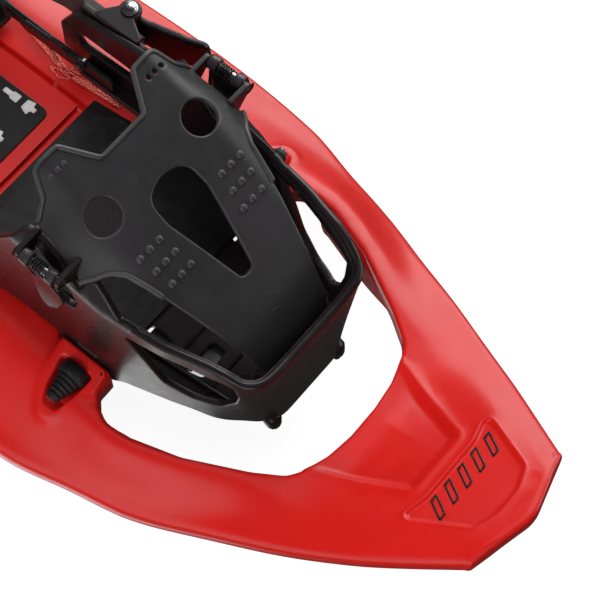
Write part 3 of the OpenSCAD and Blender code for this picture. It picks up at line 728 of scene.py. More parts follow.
def make_deck():
    lines = offset_lines(PAN, (-2.6, -1.3, -0.4, 0.9, 2.1, 3.2, 4.6))
    lines += offset_lines(BADGE, (-1.9, -1.2, -0.5, 0.2, 0.9, 1.6, 2.4))
    for loop, steps in ((BLOCK, (-2.2, -1.2, 0.4, 1.6, 2.6)), (TROUGH, (-1.2, -0.4, 0.4, 1.2, 2.0)),
            (GROOVE, (-1.2, -0.5, 0.2, 0.9))):
        for line in offset_lines(loop, steps):
            lines += [line, flipped(line)]
    crease = outline([(-5.8, 209), (-5.8, 256)], 1.5, closed=False)
    lines += [crease, crease + (1.2, 0), crease - (1.2, 0)]
    rim = [(4.8, 0), (3.8, -0.08), (2.8, -0.35), (1.9, -0.8), (1.05, -1.55), (0.4, -2.7),
        (0.05, -4.2), (0, -5.2), (0.0, -8.6), (0.4, -9.2), (1.2, -9.4), (2.4, -9.2), (2.9, -8.4),
        (3.4, -4.7), (4.6, -4.5)]
    wall = [(2.6, 0), (1.7, -0.05), (1.0, -0.3), (0.45, -0.8), (0.1, -1.6), (0, -2.6), (0.0, -10.2),
        (0.3, -10.8), (1.2, -11.0), (2.3, -10.8), (2.8, -10.0), (3.4, -5.0), (5.0, -4.5)]
    eyelet = circle(0, -279, 6.4)
    opening = opening_outline()

    def on_deck(u, v, w):
        z = deck_base(u, v) + w
        detail = (w > -3) | ((v > 190) & (v < 262))
        z[detail] += deck_details(u[detail], v[detail])
        return u, v, z

    part = plate(deck_outline(), [opening, eyelet], DECK_THICK, spacing=3.6, place=on_deck,
        lines=lines, profile=rim, hole_profile=wall)
    return make_piece("deck_shell", *part, RED, "root", "deck_red",
        ["deck", "deck_side_left", "deck_side_right", "deck_nose", "axle_block_left",
        "axle_block_right"])


make_deck()


# ---- toe cage
TONGUE_LINE = [(64, 161), (96, 145.6), (116, 134), (130, 124.5), (145, 112.8), (160, 99.3),
    (168.4, 88)]
CAGE_REAR, CAGE_FRONT = -14.0, 183.2
CAGE_WALL = 3.4
SIDE_END = 150.0
CAGE_BASE, CAGE_RIM = 46.0, 110.0
FLOOR_LEVEL = 55.6
LATCH_X, LATCH_Z = 58.7, 132.0
TONGUE_PIN_Y, TONGUE_PIN_Z = 171.0, 66.0


def cage_plan(corners):
    """Plan path of one side wall and half of the front: side part by y, front part by length."""
    path = outline(corners, 1.0, closed=False)
    side = path[path[:, 1] <= SIDE_END]
    front = path[len(side) - 1:]
    ys = np.linspace(CAGE_REAR, SIDE_END, 120)
    run = lengths(front)
    t = np.linspace(0, run[-1], 60)[1:]
    x = np.concatenate([np.interp(ys, side[:, 1], side[:, 0]), np.interp(t, run, front[:, 0])])
    y = np.concatenate([ys, np.interp(t, run, front[:, 1])])
    return x, y


TOP_X, TOP_Y = cage_plan([(58, CAGE_REAR), (57, 30, 60), (55, 62, 60), (54, 90, 60),
    (53.4, 108, 30), (50.9, 123, 30), (48.6, 140, 60), (43.8, 159, 40), (38.2, CAGE_FRONT, 12),
    (0, CAGE_FRONT)])
LOW_X, LOW_Y = cage_plan([(58, CAGE_REAR), (57, 30, 60), (55, 62, 60), (54, 90, 60), (54, 116, 30),
    (46.4, 140, 30), (39.6, 159, 30), (28, 175.5, 14), (19, 180.6, 12), (0, 180.6)])
RUN = np.concatenate([[0], np.cumsum(np.hypot(np.diff(TOP_X), np.diff(TOP_Y)))])
HALF_RUN = RUN[-1]


def on_cage(u, v, w):
    """Point of the cage wall: u runs from the rear right round the front, v is the height and
    w the way out."""
    right = u <= HALF_RUN
    side = np.where(right, 1.0, -1.0)
    s = np.where(right, u, 2 * HALF_RUN - u)

    def spot(s):
        lift = (v - CAGE_BASE) / (CAGE_RIM - CAGE_BASE)
        lift = np.minimum(lift, 1 + 0.25 * (lift - 1))
        low = np.stack([np.interp(s, RUN, LOW_X), np.interp(s, RUN, LOW_Y)])
        high = np.stack([np.interp(s, RUN, TOP_X), np.interp(s, RUN, TOP_Y)])
        x, y = low + (high - low) * lift
        shoulder = 30 + 20 * np.sqrt(np.maximum(smooth(TONGUE_LINE, y) - v, 0) / 19)
        shoulder -= 2.6 * ramp(y, 96, 76)
        lean = (y > 56) & (y < 126) & (v > 100)
        return np.stack([np.where(lean, np.minimum(x, shoulder), x), y])

    x, y = spot(s)
    ahead, behind = spot(np.minimum(s + 1.5, HALF_RUN)), spot(np.maximum(s - 1.5, 0))
    dx, dy = ahead - behind
    size = np.hypot(dx, dy)
    return side * (x + w * dy / size), y - w * dx / size, v + 0.12 * w


def cage_run(points):
    """Points (y, z) on the right side wall, as (u, z)."""
    return [(float(np.interp(p[0], TOP_Y, RUN)),) + tuple(p[1:]) for p in points]


def opposite(loop):
    return (np.asarray(loop) * (-1, 1) + (2 * HALF_RUN, 0))[::-1]


def make_cage():
    under = cage_run([(CAGE_REAR, 54, 2), (60, 52, 6), (80, 50, 4), (88, 38, 5), (110, 38, 5),
        (118, 46, 6), (150, 44, 10), (168, 39.5, 8)]) + [(HALF_RUN - 20, 38.5, 10)]
    over = cage_run([(CAGE_REAR, 74, 5), (-4, 91, 6), (20, 97, 14), (50, 106, 12), (62, 122, 8),
        (70, 134, 4), (87, 129.5, 20), (100.2, 118, 1.5), (102.6, 124, 1.5), (105.6, 125.6, 2),
        (111, 120.6, 4), (119, 112, 6), (128, 109.2, 10), (150, 109.8, 20), (160, 110.4, 10),
        (168, 108, 8), (176, 103, 10)]) + [(HALF_RUN - 16, 100.3, 12)]
    across = [[(2 * HALF_RUN - p[0],) + tuple(p[1:]) for p in half] for half in (under[::-1], over)]
    outer = outline(under + across[0] + across[1] + over[::-1], 2.2)
    window = outline(cage_run([(121.5, 99.6, 1.5), (131, 83, 8), (138, 67, 8), (149, 60.5, 8),
        (165, 61.5, 6), (172.5, 72, 6), (174, 84, 7), (172, 97, 3), (150, 99.5, 20)]), 1.5)
    recess = outline(cage_run([(74, 127, 2), (88.5, 121, 2), (95, 114, 4), (98, 104, 4),
        (95.8, 96, 3), (91, 94.5, 3), (84, 101, 4), (74, 112, 3)]), 1.0)
    rail_slot = outline(cage_run([(-2, 66, 3), (34, 70, 3), (34, 80, 3), (-2, 78, 3)]), 1.5)
    holes = [window, recess, rail_slot]
    holes += [opposite(h) for h in holes]
    wall = plate(outer, holes, CAGE_WALL, 0.8, 3.4, place=on_cage)
    # Thick rim round the front half
    start = float(np.interp(120.5, TOP_Y, RUN))
    u = np.linspace(start, 2 * HALF_RUN - start, 150)
    s = np.minimum(u, 2 * HALF_RUN - u)
    rim_line = cage_run([(120.5, 111.4), (128, 109.4), (150, 110), (160, 110.4), (168, 108),
        (176, 103.6)])
    rim_line += [(HALF_RUN - 16, 100.8), (HALF_RUN, 100.5)]
    top = np.interp(s, [p[0] for p in rim_line], [p[1] for p in rim_line])
    bead = tube(np.stack(on_cage(u, top - 1.1, np.full_like(u, -CAGE_WALL / 2)), 1), 2.05, 10)
    hoop = tube(np.stack(on_cage(u, top - 2.0, np.full_like(u, -CAGE_WALL - 0.2)), 1), 1.2, 8)
    # Floor and its ribs
    ys = np.linspace(60, 176, 40)
    edge = [(float(np.interp(y, LOW_Y[:170], LOW_X[:170])) - 2.6, y) for y in ys]
    half = [(41, 17.2, 1.5), (42.6, 34, 4), (46, 60, 6)] + edge[1:]
    base = outline(half + mirrored(half), 3)
    slots = [outline([(27.2, 112, 1.4), (31, 112, 1.4), (31, 124.4, 1.4), (27.2, 124.4, 1.4)], 0.8),
        outline([(16, 138, 2), (34, 138, 2), (32, 146, 2), (16, 146, 2)], 1.2)]
    slots += [flipped(h) for h in slots]
    floor = plate(base, slots, 3.5, 0.7, 4, place=level(FLOOR_LEVEL))
    parts = [wall, bead, hoop, floor]
    for x in (-38, 38):
        parts.append(tube([(x, 114, 56.4), (x * 0.86, 168, 56.4)], 0.9, 8))
    for y in (131, 152):
        parts.append(tube([(-36, y, 56.2), (36, y, 56.2)], 0.8, 8))
    # Bearing bosses, pin lugs and the foot under the front corner
    for s in (-1, 1):
        parts.append(lathe([(4.02, 46), (7.2, 46), (7.6, 46.6), (7.6, 52.6), (4.02, 52.6)],
            lambda x, y, z, s=s: (s * z, AXLE_Y + x, AXLE_Z + y * s)))
        lug = outline([(164, 54), (178, 54), (177, 68, 4), (174, 72, 4), (168, 72, 4),
            (165, 68, 4)], 1.2)
        bore = circle(TONGUE_PIN_Y, TONGUE_PIN_Z, 2.05, 24)
        parts.append(plate(lug, [bore], 4.6, 0.5, 2.5, place=upright(s * 17.6 + 2.3)))
        parts.append(tube([(s * 22, 176.5, 38), (s * 22, 177.6, 33.5), (s * 21.6, 177.8, 30.4)],
            np.array([4.6, 3.6, 2.2]), 12))
        stay = outline([(96, 47), (100.5, 47), (104, 55), (92, 55)], 1.5)
        parts.append(plate(stay, (), 6, 0.6, 3, place=upright(s * 51.5 + 3)))
        for y in (76.2, 98.2):
            ear = plate(outline([(45.5, 124, 1), (50, 122, 3), (57, 129, 3), (60.4, 130, 1.8),
                (60.9, 132.6, 1.8), (59.0, 134.9, 2), (45.5, 135.6, 2)], 1.2),
                [circle(LATCH_X, LATCH_Z, 2.0, 24)], 2.6, 0.5, 2.5, place=lambda u, v, w,
                y=y: (u, y - w - 2.6, v))
            parts.append(ear if s > 0 else mirror_x(ear))
        lip = plate(outline([(47.6, 0, 2), (54.2, 0, 1), (54.2, 60, 1), (47.6, 60, 2)], 4), (), 3.2,
            0.5, 4, place=lambda u, v, w, s=s: (s * u, v if s > 0 else 60 - v, w + 55.2))
        parts.append(lip)
    return make_piece("cage_shell", *join(parts), CAGE, "binding", "cage_black",
        ["toe_cage", "cage_arm_left", "cage_arm_right", "cage_floor"])


make_cage()


# ---- tongue
TONGUE_THICK = 2.6
EAR_MARKS = (25.8, 29.5, 33.2)


def tongue_curve():
    """Middle line of the tongue in side view: run, y and z."""
    ys = np.linspace(63, 168.4, 160)
    zs = smooth(TONGUE_LINE, ys)
    bend = np.array([(170.2, 84.6), (171.5, 81), (172.3, 77.4), (172.7, 73.6), (172.6, 69.6)])
    y, z = np.concatenate([ys, bend[:, 0]]), np.concatenate([zs, bend[:, 1]])
    run = np.concatenate([[0], np.cumsum(np.hypot(np.diff(y), np.diff(z)))])
    fine = np.linspace(0, run[-1], 260)
    return fine, np.interp(fine, run, y), np.interp(fine, run, z)


T_RUN, T_Y, T_Z = tongue_curve()


def along(y):
    return float(np.interp(y, T_Y[:-20], T_RUN[:-20]))


def on_tongue(u, v, w):
    """Point of the tongue: u is x, v the run along its middle line, w the way up."""
    y, z = np.interp(v, T_RUN, T_Y), np.interp(v, T_RUN, T_Z)
    step = 1.2
    ty = np.interp(v + step, T_RUN, T_Y) - np.interp(v - step, T_RUN, T_Y)
    tz = np.interp(v + step, T_RUN, T_Z) - np.interp(v - step, T_RUN, T_Z)
    size = np.hypot(ty, tz)
    ty, tz = ty / size, tz / size
    over = np.maximum(np.abs(u) - 30 + 2.6 * ramp(y, 96, 76) * ramp(np.abs(u), 30, 40), 0)
    drop, slope = -19 * (over / 20) ** 2, -0.095 * over * np.sign(u)
    n = np.stack([-slope * ty, -tz, ty])
    n /= np.linalg.norm(n, axis=0)
    return u + w * n[0], y + w * n[1], z + drop + w * n[2]


def tongue_points(points):
    return [(p[0], along(p[1])) + tuple(p[2:]) for p in points]


def make_tongue():
    half = [(12.5, 80, 3), (22.6, 65.5, 3), (35.8, 65, 3), (39.4, 73, 3), (45.4, 74.5, 0.6),
        (46.4, 73, 0.6), (48.6, 88, 20), (50.2, 101, 1.2), (46.6, 105.6, 3), (42.2, 109.6, 5),
        (38.6, 115.4, 8), (36, 125, 9), (33.1, 136, 30), (28.9, 149.5, 40), (24.6, 162, 40)]
    low = [(22.2, T_RUN[-1] - 17, 20), (19, T_RUN[-1] - 3, 6), (14.6, T_RUN[-1], 2)]
    half = tongue_points(half) + low
    outer = outline(mirrored(half[::-1]) + half[::-1], 1.8)
    ends = [circle(s * 29.5, along(96), 7.9, 44) for s in (-1, 1)]
    tip = along(146)
    drop = outline([(0, along(100.6), 12), (11.6, along(103.6), 11), (12.0, along(115), 12),
        (3.4, tip, 3), (-3.4, tip, 3), (-12.0, along(115), 12), (-11.6, along(103.6), 11)], 1.5)
    marks = [circle(-x, along(72.4), 1.05, 14) for x in EAR_MARKS]
    blade = plate(outer, ends + [drop] + marks, TONGUE_THICK, 0.9, 2.7, place=lambda u, v,
        w: on_tongue(u, v, w + TONGUE_THICK / 2))
    parts = [blade]

    def raised(x, run, radius, height):
        spot, up = np.stack(on_tongue(np.array([x, x]), np.array([run, run]), np.array([0, 1])
            + TONGUE_THICK / 2), 1)
        return dome(spot, up - spot, radius, height)

    for s in (-1, 1):
        for i in range(3):
            for j in range(3):
                x = 31.0 - 5.75 * i - 1.42 * j
                parts.append(raised(s * x, along(115.8 + 6.9 * j), 1.8, 1.15))
    for x in EAR_MARKS:
        parts.append(raised(x, along(72.4), 1.25, 0.7))
    ring = circle(0, along(158.6), 3.9, 36)
    path = np.stack(on_tongue(ring[:, 0], ring[:, 1], np.full(36, TONGUE_THICK / 2 + 0.02)), 1)
    parts.append(tube(path, 0.22, 6, closed=True))
    barrel = lathe(sleeve(2.04, 4.2, -14.5, 14.5), lambda x, y,
        z: (z, TONGUE_PIN_Y + x, TONGUE_PIN_Z + y), 28)
    parts.append(barrel)
    make_piece("tongue_blade", *join(parts), TONGUE, "tongue_body", "tongue_grey", ["tongue"])

    def bead(points, radius):
        line = outline(tongue_points(points), 1.2, closed=False)
        path = np.stack(on_tongue(line[:, 0], line[:, 1], np.full(len(line), TONGUE_THICK / 2
            - 0.1)), 1)
        return tube(path, radius, 10)

    ears = [(44.8, 75.2), (39, 73.6, 3), (35.2, 65.8, 2.5), (23, 66.2, 2.5), (13, 80.8, 3)]
    ears += mirrored(ears)
    arcs = [(49.8, 100.6), (46.2, 105.2, 3), (41.8, 109.4, 5), (38.2, 115.2, 8), (35.8, 124, 6),
        (34.4, 129.8)]
    lips = [bead(ears, 1.25)] + [bead([(s * p[0],) + tuple(p[1:]) for p in arcs], 1.35)
        for s in (-1, 1)]
    make_piece("tongue_lip", *join(lips), LIP, "tongue_body", "tongue_grey")


make_tongue()


# ---- deck furniture
def on_top(u, v, w):
    return u, v, deck_top(u, v) + w


def make_skirts():
    """Inner walls that stiffen the long sides of the toe opening."""
    half = [(73.0, 122.0), (73.8, 126, 9), (72.6, 137, 14), (65.4, 160, 24), (51.2, 188, 30),
        (45.5, 196.6)]
    path = outline(half, 1.6, closed=False)
    ahead = headings(path)
    out = np.stack([ahead[:, 1], -ahead[:, 0]], 1)
    run = np.linspace(0, 1, len(path))
    t = ramp(run, 0, 0.16) * ramp(run, 1, 0.4)
    top = deck_top(path[:, 0], path[:, 1])
    rings = []
    for d, z in ((-1.0 - 1.3 * t, 1.8), (-1.2 - 2.0 * t, 4 + 6.0 * t),
            (-1.2 - 4.6 * t, 4.6 + 16.4 * t), (-0.8 - 4.4 * t, 5 + 16.8 * t),
            (0.2 - 3.8 * t, 4.6 + 16.4 * t), (0.4 - 1.0 * t, 4 + 6.0 * t), (1.0, 3.4)):
        rings.append(np.column_stack([path + out * np.reshape(d + 0 * t, (-1, 1)), top - z]))
    n, m = len(path), len(rings)
    verts = np.concatenate(rings)
    faces = [((a * n) + i, (a * n) + i + 1, ((a + 1) % m) * n + i + 1, ((a + 1) % m) * n + i)
        for a in range(m) for i in range(n - 1)]
    faces += [tuple(a * n for a in range(m)), tuple((m - 1 - a) * n + n - 1 for a in range(m))]
    make_piece("opening_skirts", *join(pair((verts, faces))), RED_INNER, "root", "deck_red")


def make_relief():
    """Low grained ribs on the deck, a star of bars and a curved band, on both sides."""
    bars = [[(-46.5, -9), (-49.6, -5.6), (-60.4, -43.4), (-56.2, -48)],
        [(-48, -14), (-51.5, -12), (-60.6, -33.2), (-58.4, -37)],
        [(-47, -9.6), (-50.2, -6.2), (-60.4, 1.0), (-58.0, -2.6)],
        [(-45.6, -9), (-49.4, -5.4), (-52.9, 24.8), (-49.0, 25.0)],
        [(-49.9, -6), (-51.0, -1), (-59.8, 2.4), (-58.6, -8)], [(-58.6, -8.4), (-60.0, 2.4),
        (-53.0, 25), (-49.1, 25), (-50.6, 20)], [(-50.9, 2.4), (-50.4, 5.2), (-55.6, 12.6),
        (-54.4, 9.8)], [(-47.0, -11), (-44.1, -16.9), (-42.2, -8), (-45.0, -3.2), (-47.5, -5)]]
    parts = []

    def raised(u, v, w):
        return on_top(u, v, w + 0.42)

    for bar in bars:
        loop = outline([(-42.2 + 0.85 * (x + 42.2), y, 0.4) for x, y in bar], 2.5)
        parts += pair(plate(loop, (), 0.9, 0.25, 2.4, place=raised))
    band = outline([(-93.5, -30, 1), (-97.4, -3.2, 30), (-96.6, 15.4, 30), (-89.8, 37.3, 20),
        (-83.7, 44.3, 1), (-87.1, 31.7, 20), (-92.6, 9.2, 30), (-93.0, -10.4, 20)], 2.5)
    parts += pair(plate(band, (), 0.9, 0.25, 2.4, place=raised))
    make_piece("deck_relief", *join(parts), RELIEF, "root", "deck_red")


LABEL_TOP = 48.85
SIGN_EDGE = [(0.12, 0), (0.02, -0.08), (0, -0.15), (0, -0.3), (0.12, -0.35)]


def make_label():
    board = plate(outline([(-25, -75, 4), (25, -75, 4), (25, 3, 4), (-25, 3, 4)], 2), (), 0.85,
        0.25, 5, place=level(LABEL_TOP))
    make_piece("label_plate", *board, PRINT, "root", "print_black", ["info_label"])
    signs = [[(-23.4, -9.4), (-18.4, -9.4), (-16.9, -5.0), (-19.6, -4.4), (-19.6, -2.4),
        (-22.0, -2.4), (-22.0, -4.4), (-24.4, -5.0)], [(-22.0, -22.0), (-19.4, -22.0),
        (-19.4, -17.4), (-18.5, -16.8), (-18.5, -12.6), (-22.9, -12.6), (-22.9, -16.8),
        (-22.0, -17.4)], [(-23.0, -30.5), (-18.4, -30.5), (-20.7, -25.0)]]
    shapes = [[outline([(x + 20.7 * row, y - 1.5 * row, 0.5) for x, y in sign], 1.5)
        for sign in signs] for row in range(3)]
    shapes[0] += [outline([(-24, y, 0.6), (-10, y, 0.6), (-10, y + 2.4, 0.6), (-24, y + 2.4, 0.6)],
        2) for y in (-40, -48, -56, -64)]
    parts = [plate(loop, (), 0.3, 0.08, 3, profile=SIGN_EDGE, place=level(LABEL_TOP + 0.08))
        for row in shapes for loop in row]
    make_piece("label_signs", *join(parts), WHITE, "root", "print_black")


def make_emblem():
    """Five slanted bars in outline on the nose plate."""
    parts = []
    for k in range(5):
        x = -20.6 + 9.1 * k
        bar = outline([(x - 3.8, 258.6, 0.5), (x + 0.6, 258.6, 0.5), (x + 6.6, 268.2, 0.5),
            (x + 2.2, 268.2, 0.5)], 1.2)
        parts.append(plate(bar, [inset(bar, 0.95)[::-1]], 0.5, 0.1, 1.5, place=lambda u, v,
            w: on_top(u, v, w + 0.22)))
    make_piece("nose_emblem", *join(parts), PRINT, "root", "print_black", ["nose_inlay"])


def make_boots():
    """Rubber sleeves over the ends of the axle: a smooth barrel, a step and a ribbed cone."""
    profile = [(2.5, 0.1), (7.0, 0.1), (7.6, 0.7), (7.6, 5.2), (7.2, 6.0), (6.2, 6.4)]
    for k in range(5):
        z, r = 7.2 + 2.2 * k, 6.2 - 0.62 * k
        profile += [(r - 0.55, z - 0.6), (r, z), (r - 0.05, z + 0.7), (r - 0.7, z + 1.2)]
    profile += [(3.0, 17.6), (2.3, 18.4), (2.0, 18.4)]
    right = lathe(profile, lambda x, y, z: (61.05 + z, AXLE_Y + x, AXLE_Z + y), 36)
    make_piece("boot_right", *right, RUBBER, "root", "pad_rubber", ["axle_boot_right"])
    make_piece("boot_left", *mirror_x(right), RUBBER, "root", "pad_rubber", ["axle_boot_left"])


make_skirts()
make_relief()
make_label()
make_emblem()
make_boots()


# ---- claw and latches
def make_crampon():
    """Steel claw plate under the cage floor, with folded toothed sides and a toothed front."""
    plan = outline([(-36, 113, 3), (36, 113, 3), (36, 128, 3), (29.5, 134, 3), (29.5, 151, 2),
        (-29.5, 151, 2), (-29.5, 134, 3), (-36, 128, 3)], 2.4)
    holes = [outline([(s * 15 - 7, 119, 2), (s * 15 + 7, 119, 2), (s * 15 + 7, 134, 2),
        (s * 15 - 7, 134, 2)], 1.6) for s in (-1, 1)] + [circle(s * 32, 124, 1.7, 18)
        for s in (-1, 1)]
    base = plate(plan, holes, 2, 0.4, 4, place=level(51.8))
    side = plate(outline([(117, 51.6, 1), (151, 51.6, 1), (149, 32, 2), (142.2, 9.6, 0.8),
        (140.6, 9.6, 0.8), (137, 30, 2), (131, 35, 3), (125, 30, 2), (121.4, 13, 0.8),
        (120, 13, 0.8), (117, 30, 2)], 1.6), [circle(134, 43, 2.6, 20)], 2, 0.4, 3,
        place=upright(29.3))
    half = [(8, 40, 3), (15, 36, 3), (21.4, 17, 0.8), (22.6, 17, 0.8), (27, 38, 2), (27, 51.6, 1)]
    claw = plate(outline(mirrored(half) + half, 1.6), (), 2, 0.4, 3, place=lambda u, v,
        w: (u, 113 - w, v))
    make_piece("claw_plate", *join([base] + pair(side) + [claw]), CLAW, "binding", "claw_steel",
        ["front_crampon"])


def make_latches():
    """Spring latches outside the cage: a curved paddle that turns on a pin between two ears."""
    hang = [(86, 60.4), (92, 58.6), (100, 57.4), (112, 57.8), (124, 59.4), (132, 60.2), (138, 59.6)]

    def hanging(u, v, w):
        return smooth(hang, v) + w, u, v

    def on_axis(x, y, z):
        return LATCH_X + y, z, LATCH_Z + x

    paddle = plate(outline([(76.2, 135, 2), (76.4, 116, 6), (76.8, 99.4, 6), (79.6, 92.4, 5),
        (84.6, 89.6, 5), (90.2, 94.0, 5), (93.4, 102, 3), (92.2, 109, 4), (86.2, 118.6, 2),
        (83.6, 121, 2), (82.4, 130, 2), (81.6, 135, 2)], 1.2), [outline([(77.9, 130, 0.8),
        (78.4, 107.5, 0.8), (80.6, 117, 0.8), (80.2, 130, 0.8)], 0.9)], 2.6, 0.8, 2.4,
        place=hanging)
    web = plate(outline([(79, 130.6, 1), (94.6, 130.6, 1), (92.4, 113, 3), (86, 103, 3),
        (80, 110, 3)], 1.6), (), 1.4, 0.5, 3, place=lambda u, v,
        w: (56.9 + w + 0.02 * (v - 110), u, v))
    knuckles = [lathe(sleeve(1.96, 3.4, a, b), on_axis, 26) for a,
        b in ((76.6, 81.4), (90.6, 95.0))]
    lever = join([paddle, web] + knuckles)
    pin = lathe([(0.0, 74.0), (1.7, 74.0), (1.9, 74.3), (1.9, 97.7), (1.7, 98.0), (0.0, 98.0)],
        on_axis, 24)
    coils, coil_radius, coil_pitch = 5, 2.45, 1.3
    spring = tube([(LATCH_X + coil_radius * math.cos(t), 82.4 + coil_pitch * t / (2 * math.pi),
        LATCH_Z + coil_radius * math.sin(t)) for t in np.linspace(0, coils * 2 * math.pi,
        coils * 20)], 0.42, 8)
    for side, turn in (("right", lambda part: part), ("left", mirror_x)):
        make_piece("latch_paddle_" + side, *turn(lever), CAGE, "latch_" + side, "cage_black",
            ["latch_lever_" + side])
        make_piece("latch_rod_" + side, *turn(pin), PIN, "binding", "pin_steel",
            ["latch_pin_" + side])
        make_piece("latch_coil_" + side, *turn(spring), FRAME, "binding", "pin_steel",
            ["latch_spring_" + side])


make_crampon()
make_latches()


# ---- buckle and heel strap
PIVOT_X, PIVOT_Y = -69.6, 18.0


def on_pivot(x, y, z):
    return PIVOT_X + x, PIVOT_Y + y, z


def make_buckle():
    line = [(PIVOT_X, PIVOT_Y - 1), (-70.6, 26, 20), (-72.4, 34, 40), (-75.6, 46, 40),
        (-80.4, 56.6)]
    path = outline(line, 0.8, closed=False)
    run, ahead = lengths(path), headings(path)

    def on_blade(u, v, w):
        x, y = np.interp(u, run, path[:, 0]), np.interp(u, run, path[:, 1])
        dx, dy = np.interp(u, run, ahead[:, 0]), np.interp(u, run, ahead[:, 1])
        return x - dy * w, y + dx * w, v

    end = run[-1]
    shape = outline([(2, 79, 1), (9, 76.6, 4), (22, 73.2, 6), (end - 6, 74.2, 6),
        (end - 0.4, 84, 7), (end - 1.6, 94.6, 4), (end - 14, 95.6, 20), (2, 95.6, 1)], 1.4)
    blade = plate(shape, (), 3.2, 1.0, 2.6, place=lambda u, v, w: on_blade(u, v, w + 1.6))
    barrel = lathe(sleeve(2.56, 4.5, 75.8, 95.6, 0.3), on_pivot, 30)
    ribs = [tube(np.stack(on_blade(np.full(5, u), np.full(5, 95.45), np.linspace(-1.1, 1.1, 5)), 1),
        0.4, 8) for u in np.arange(12, end - 14, 1.3)]
    u = np.linspace(6, end - 2, 40)
    v = np.interp(u, [6, 24, end - 6, end], [78.6, 74.8, 76, 82])
    rail = tube(np.stack(on_blade(u, v, np.full(40, 1.7)), 1), 0.55, 8)
    make_piece("buckle_blade", *join([blade, barrel, rail] + ribs), CAGE, "buckle", "cage_black",
        ["buckle_lever"])
    head = lathe([(0, 67.4), (2.9, 67.5), (3.6, 68.0), (3.6, 69), (2.5, 69.2), (2.5, 99),
        (3.9, 99.1), (4.0, 99.7), (3.5, 100.2), (3.2, 100.1), (3.0, 100.5), (2.3, 101.1),
        (1.2, 101.5), (0, 101.6)], on_pivot, 34)
    lobe = [(-58.2, 6, 1), (-58.2, 32, 1), (-61.4, 32, 2)] + [p + (0,)
        for p in arc(PIVOT_X, PIVOT_Y, 5.4, 60, 285, 12)]
    lobe = outline(lobe + [(-62, 8, 3)], 1.4)
    bore = circle(PIVOT_X, PIVOT_Y, 2.55, 24)
    back = plate(outline([(-3.5, 72.5, 3), (37.5, 72.5, 3), (37.5, 95.8, 3), (-3.5, 95.8, 3)], 1.8),
        (), 2.9, 0.6, 3, place=upright(-58.3))
    flanges = [plate(lobe, [bore], 2.6, 0.6, 3, place=level(z)) for z in (98.8, 72.2)]
    make_piece("buckle_frame", *join([back] + flanges), CAGE, "binding", "tongue_grey",
        ["buckle_base"])
    make_piece("buckle_rivet", *head, PIN, "binding", "pin_steel", ["buckle_pin"])


def make_strap_teeth():
    """Ladder teeth and edge rails on the outside of the heel strap."""
    path = [(-64.75, 30), (-64.75, -18)]
    path += arc(0, -100, 49.3, 180, 360, 46)
    path += [(61.25, -18), (61.25, 12)]
    path = subdivided(path, 1.0, closed=False)
    run = lengths(path)
    parts = [tube(np.column_stack([path[::3], np.full(len(path[::3]), z)]), 0.7, 8)
        for z in (75.2, 92.8)]
    for u in np.arange(4, run[-1] * 0.42, 3.0):
        x, y = np.interp(u, run, path[:, 0]), np.interp(u, run, path[:, 1])
        parts.append(tube([(x, y, 78.5), (x, y, 84), (x, y, 89.5)], 0.75, 8))
    make_piece("strap_teeth", *join(parts), FRAME, "binding", "frame_black")


SIZE_PIN_Y, SIZE_PIN_Z = 4.0, 64.0


def make_heel_frame():
    """Heel plate with upright sides and slim runners that slide inside the arms of the cage."""
    half = [(51, -44, 2), (51, -110, 6), (50.3, -134.3, 14), (24, -151, 20)]
    shape = outline(mirrored(half[::-1]) + half[::-1], 3)
    holes = [circle(x, y, 7, 34) for x in (-20, 20) for y in (-66, -90, -114)]
    base = plate(shape, holes, 4, 0.8, 5, place=level(54.5))
    side = plate(outline([(-128, 51, 1), (-44, 51, 1), (-44, 64.5, 3), (-50, 70.4, 6),
        (-108, 70.4, 10), (-124, 62.4, 6), (-128, 62.4, 2)], 2.4),
        [circle(y, 64, 2.05, 20) for y in (-118, -96)], 3.8, 0.7, 4, place=upright(50.9))
    runner = plate(outline([(-47, 55.9, 1), (21.6, 55.9, 2), (21.6, 63.4, 3), (-40, 63.8, 6),
        (-47, 66, 2)], 2.4), [circle(4, 60.2, 0.8, 12)], 2.5, 0.6, 4, place=upright(51.1))
    rib = tube([(49.8, -46, 64.6), (49.8, 21, 62.6)], 0.7, 8)
    make_piece("heel_tray", *join([base] + pair(join([side, runner, rib]))), FRAME, "heel_carriage",
        "frame_black", ["heel_frame"])
    pin = lathe([(0, 44.6), (2.3, 44.7), (2.5, 45.3), (2.5, 45.6), (1.45, 45.7), (1.45, 50.6),
        (0, 50.6)], lambda x, y, z: (z, SIZE_PIN_Y + x, SIZE_PIN_Z + y), 22)
    make_piece("size_pivots", *join(pair(pin)), PIN, "heel_carriage", "pin_steel",
        ["size_latch_pins"])
    latch = plate(outline([(-34, 64.6, 2), (-30, 60.0, 3), (3, 60.4, 4), (8.2, 63.6, 4),
        (5, 68.0, 3), (-4, 67.6, 2), (-6, 70.6, 2), (-13, 70.6, 2), (-15, 67.4, 2), (-30, 67.0, 3)],
        1.6), [circle(SIZE_PIN_Y, SIZE_PIN_Z, 1.5, 20)], 2.4, 0.7, 3, place=upright(48.3))
    make_piece("size_key_right", *latch, CAGE, "size_right", "cage_black", ["size_latch_right"])
    make_piece("size_key_left", *mirror_x(latch), CAGE, "size_left", "cage_black",
        ["size_latch_left"])


make_buckle()
make_strap_teeth()
make_heel_frame()


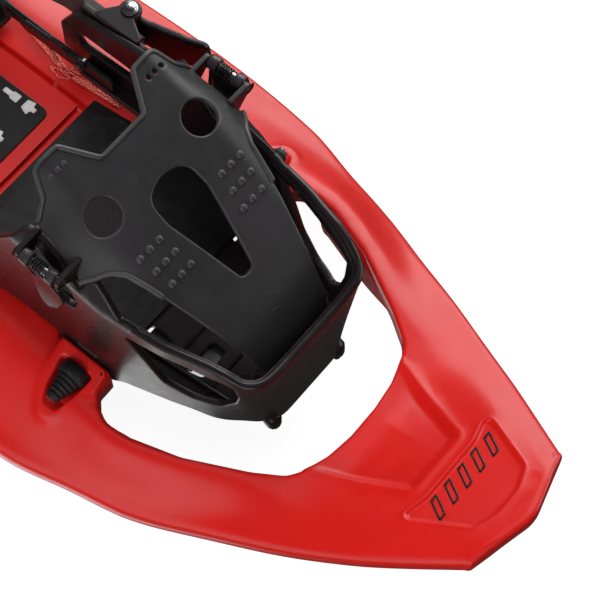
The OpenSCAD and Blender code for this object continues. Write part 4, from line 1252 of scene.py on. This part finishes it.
# ---- floor and light
def make_floor():
    n = Nodes("floor")
    base = n.ramp(n.noise(3, 2), 0.3, 0.7, rgba(0.24, 0.24, 0.24), rgba(0.26, 0.26, 0.26))
    material = n.finish(base, n.varied(8, 2, 0.6, 0.7),
        n.bump(n.noise(50, 2), 0.05, 0.001), Emission_Color=(1, 1, 1, 1), Emission_Strength=0.92)
    bpy.ops.mesh.primitive_plane_add(size=12, location=(0, 0, -0.0005))
    floor = bpy.context.object
    floor.name = "floor"
    floor.data.materials.append(material)
    floor.visible_diffuse = floor.visible_glossy = False


def soft_light(name, place, target, size, watts, diffuse=True, glossy=True):
    data = bpy.data.lights.new(name, "AREA")
    data.shape = "RECTANGLE"
    data.size, data.size_y = size
    data.energy = watts
    light = bpy.data.objects.new(name, data)
    bpy.context.scene.collection.objects.link(light)
    light.location = place
    light.rotation_mode = "QUATERNION"
    light.rotation_quaternion = (Vector(target) - Vector(place)).to_track_quat("-Z", "Y")
    light.visible_diffuse, light.visible_glossy = diffuse, glossy


def make_light():
    world = bpy.data.worlds.new("studio")
    world.use_nodes = True
    world.node_tree.nodes["Background"].inputs["Color"].default_value = (1, 1, 1, 1)
    world.node_tree.nodes["Background"].inputs["Strength"].default_value = 0.05
    bpy.context.scene.world = world
    middle, side, side_size = (0, 0.1, 0.03), (-1.75, -0.45, 0.95), (2.2, 2.0)
    soft_light("side_softbox", side, middle, side_size, 50)
    soft_light("side_sheen", side, middle, side_size, 26, diffuse=False)
    soft_light("right_fill", (1.5, 0.1, 0.6), middle, (1.2, 1.2), 20, glossy=False)
    soft_light("flap_card", (1.3, 1.15, 0.3), middle, (0.9, 0.7), 6, diffuse=False)
    soft_light("ear_card", (-1.3, 1.2, 0.4), middle, (0.8, 0.6), 7, diffuse=False)
    soft_light("top_softbox", (-0.3, -0.3, 2.1), middle, (1.2, 1.4), 27, glossy=False)
    soft_light("front_fill", (1.2, 1.5, 1.3), middle, (1.0, 1.0), 9, glossy=False)
    soft_light("low_card", (0.8, -0.42, -1.25), middle, (1.2, 1.2), 9, diffuse=False)
    soft_light("right_card", (1.6, 0.35, 0.12), middle, (0.9, 0.6), 1.4, diffuse=False)


make_floor()
make_light()
bpy.context.scene.view_settings.view_transform = "Standard"
